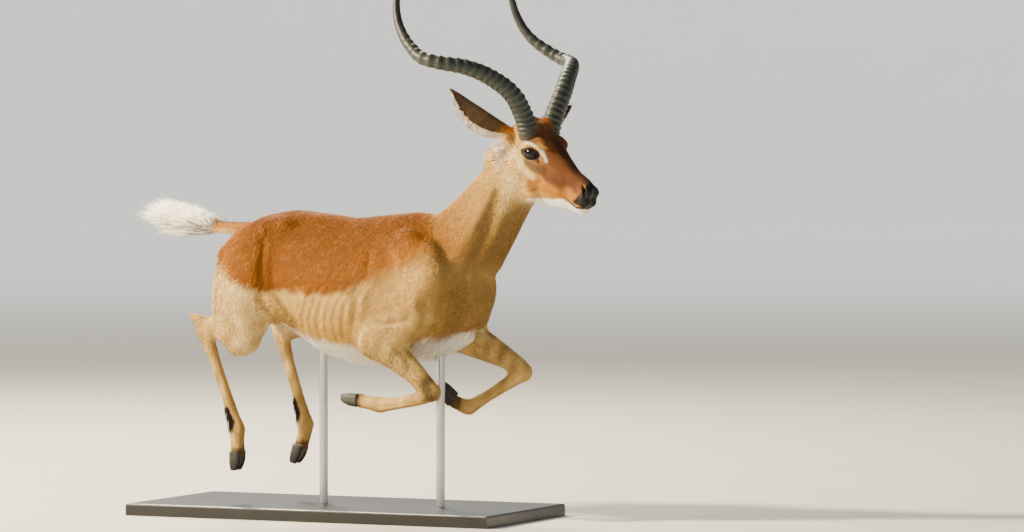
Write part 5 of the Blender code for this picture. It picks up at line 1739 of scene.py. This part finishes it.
def rim_line(side):
    gaze, inner, upper = eye_directions(side)
    turns = np.linspace(0.0, 2.0 * math.pi, RIM_STEPS, endpoint=False)
    edge = opening_radius(np.cos(turns), np.sin(turns))
    along = edge * np.cos(turns)
    height = edge * np.sin(turns)
    out = np.sqrt((EYE_SIZE + RIM_THICKNESS * 0.55) ** 2 - edge ** 2)
    return EYES[side] + inner * along[:, None] + upper * height[:, None] + gaze * out[:, None]


def lid_rim(side):
    curve = new_curve("lid_rim_" + side, "POLY", rim_line(side))[0]
    curve.bevel_depth = RIM_THICKNESS
    curve.bevel_resolution = 4
    curve.splines[0].use_cyclic_u = True
    return shade_smooth(applied_mesh(link_object("lid_rim_" + side, curve)))


def lash_roots(side):
    inner, upper = eye_directions(side)[1:]
    line = rim_line(side)
    height = (line - EYES[side]) @ upper
    top = line[height > LASHES_FROM]
    chosen = top[random.integers(0, len(top), LASHES)]
    chosen = chosen + random.normal(scale=LASH_STRAY, size=(LASHES, 3))
    out = unit(chosen - EYES[side])
    way = unit(out * 0.9 + upper * 0.35 + inner * 0.25)
    square = unit(upper - way * (way @ upper)[:, None])
    nearest = nearest_step(chosen, points)
    uv = np.zeros((len(points), 2))
    uv[triangles.ravel()] = hide_uv
    return {"place": chosen, "normal": square, "flow": way, "uv": uv[nearest],
            "colour": np.broadcast_to(BLACK, (LASHES, 3))}


# a wet eye mirrors the lamps sharply, and the moist skin of the lids only dimly
EYE = marked_material("wet_dark_eye", 0.06, WET_GLOSS)
BARE = marked_material("moist_black_skin", 0.38, WET_GLOSS)
for side in EYES:
    ball = new_object("eyeball_" + side, eyeball(side), EYE)
    place_on_frame(ball, ["eye_" + side])
    rim = new_object("lid_rim_" + side, lid_rim(side), BARE)
    paint(rim.data, np.broadcast_to(BLACK, (len(rim.data.vertices), 3)))
    place_on_frame(rim)
    roots = lash_roots(side)
    length = random.uniform(*LASH_LENGTH, LASHES)
    coat_piece("lashes_" + side, roots, length, LASH_WIDTH, 0.0, stray=0.12)
print("eyeballs of", round(EYE_SIZE * 2000, 1), "mm with", LASHES, "lashes each")

# %% [markdown]
# ## Hooves
#
# A hoof is a horn wall that grows down from the coronet, so it carries faint level rings and is
# worn smooth at the toe. Each claw is a copy of its solid, joined by a fine remesh and softened,
# which rounds its edges and keeps its shape.

# %% Cloven hooves
HOOF_VOXEL = 0.0011
HOOF_ROUNDS = 50


def hoof_mesh(node):
    piece = remeshed(link_object(node, merged_copy(node, 0.0)), HOOF_VOXEL)
    smooth = piece.modifiers.new("worn_edges", "SMOOTH")
    smooth.factor = 0.5
    smooth.iterations = HOOF_ROUNDS
    mesh = applied_mesh(piece)
    mesh.name = "horn_of_" + node
    return shade_smooth(mesh)


def hoof_material():
    # black hoof horn: growth rings as faint steps, and a satin gloss that varies with the grain
    material, tree = new_material("black_hoof_horn")
    place = object_place(tree)
    rings = add(tree, "ShaderNodeTexWave", {"Vector": place, "Scale": 190.0, "Distortion": 2.0, "Detail": 2.0,
                                            "Detail Scale": 2.0}, bands_direction="Z")
    grain = noise(tree, place, 150.0, 4.0)
    tone = mixed(tree, "RGBA", grain, rgba("#0C0A09"), rgba("#26211C"))
    return finish_material(material, {"Base Color": tone, "Roughness": spread(tree, grain, 0.30, 0.55),
                                      "Normal": relief(tree, rings.outputs["Fac"], 0.35, 0.0006)})


HOOF = hoof_material()
for node in HOOVES:
    claw = new_object("horn_of_" + node, hoof_mesh(node), HOOF)
    place_on_frame(claw, [node])
print(len(HOOVES), "claws")

# %% [markdown]
# ## The display stand
#
# A plain lacquered board and two brushed steel rods hold the leaping animal where its own hooves
# can't. They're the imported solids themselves, so only their materials change.

# %% Materials of the stand
def lacquer_material():
    # black lacquer over wood: deep colour, satin gloss, and a slight waviness from the brush
    material, tree = new_material("black_lacquered_board")
    waves = noise(tree, object_place(tree), 14.0, 3.0)
    tone = mixed(tree, "RGBA", waves, rgba("#141414"), rgba("#232221"))
    return finish_material(material, {"Base Color": tone, "Roughness": 0.32,
                                      "Normal": relief(tree, waves, 0.15, 0.001)})


def steel_material():
    # brushed steel rod: metal with fine scratches round it
    material, tree = new_material("brushed_steel_rod")
    squeezed = add(tree, "ShaderNodeMapping", {"Vector": object_place(tree), "Scale": (40.0, 40.0, 900.0)})
    scratches = noise(tree, squeezed.outputs["Vector"], 1.0, 3.0)
    return finish_material(material, {"Base Color": rgba("#B9BCBE"), "Metallic": 1.0,
                                      "Roughness": spread(tree, scratches, 0.22, 0.42),
                                      "Normal": relief(tree, scratches, 0.2, 0.0003)})


LACQUER = lacquer_material()
STEEL = steel_material()
STAND_NODES = [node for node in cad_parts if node.startswith("stand_")]
for node in STAND_NODES:
    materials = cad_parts[node].data.materials
    for place in range(len(materials)):
        materials[place] = LACQUER if node == "stand_base" else STEEL
print("stand nodes keep their solids:", STAND_NODES)

# %% [markdown]
# ## Triangles
#
# The looks have to fill the same space as the solids, since the solids carry the collisions and
# the catalogue's size. The count of triangles is printed, in all and for the heaviest piece.

# %% Count the triangles and finish
dressed = [piece for piece in bpy.context.scene.objects if piece.type == "MESH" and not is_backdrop(piece)]
heaviest = max(dressed, key=lambda piece: len(piece.data.polygons))
print("triangles or faces in all:", sum(len(piece.data.polygons) for piece in dressed))
print("most of them in", heaviest.name, len(heaviest.data.polygons))
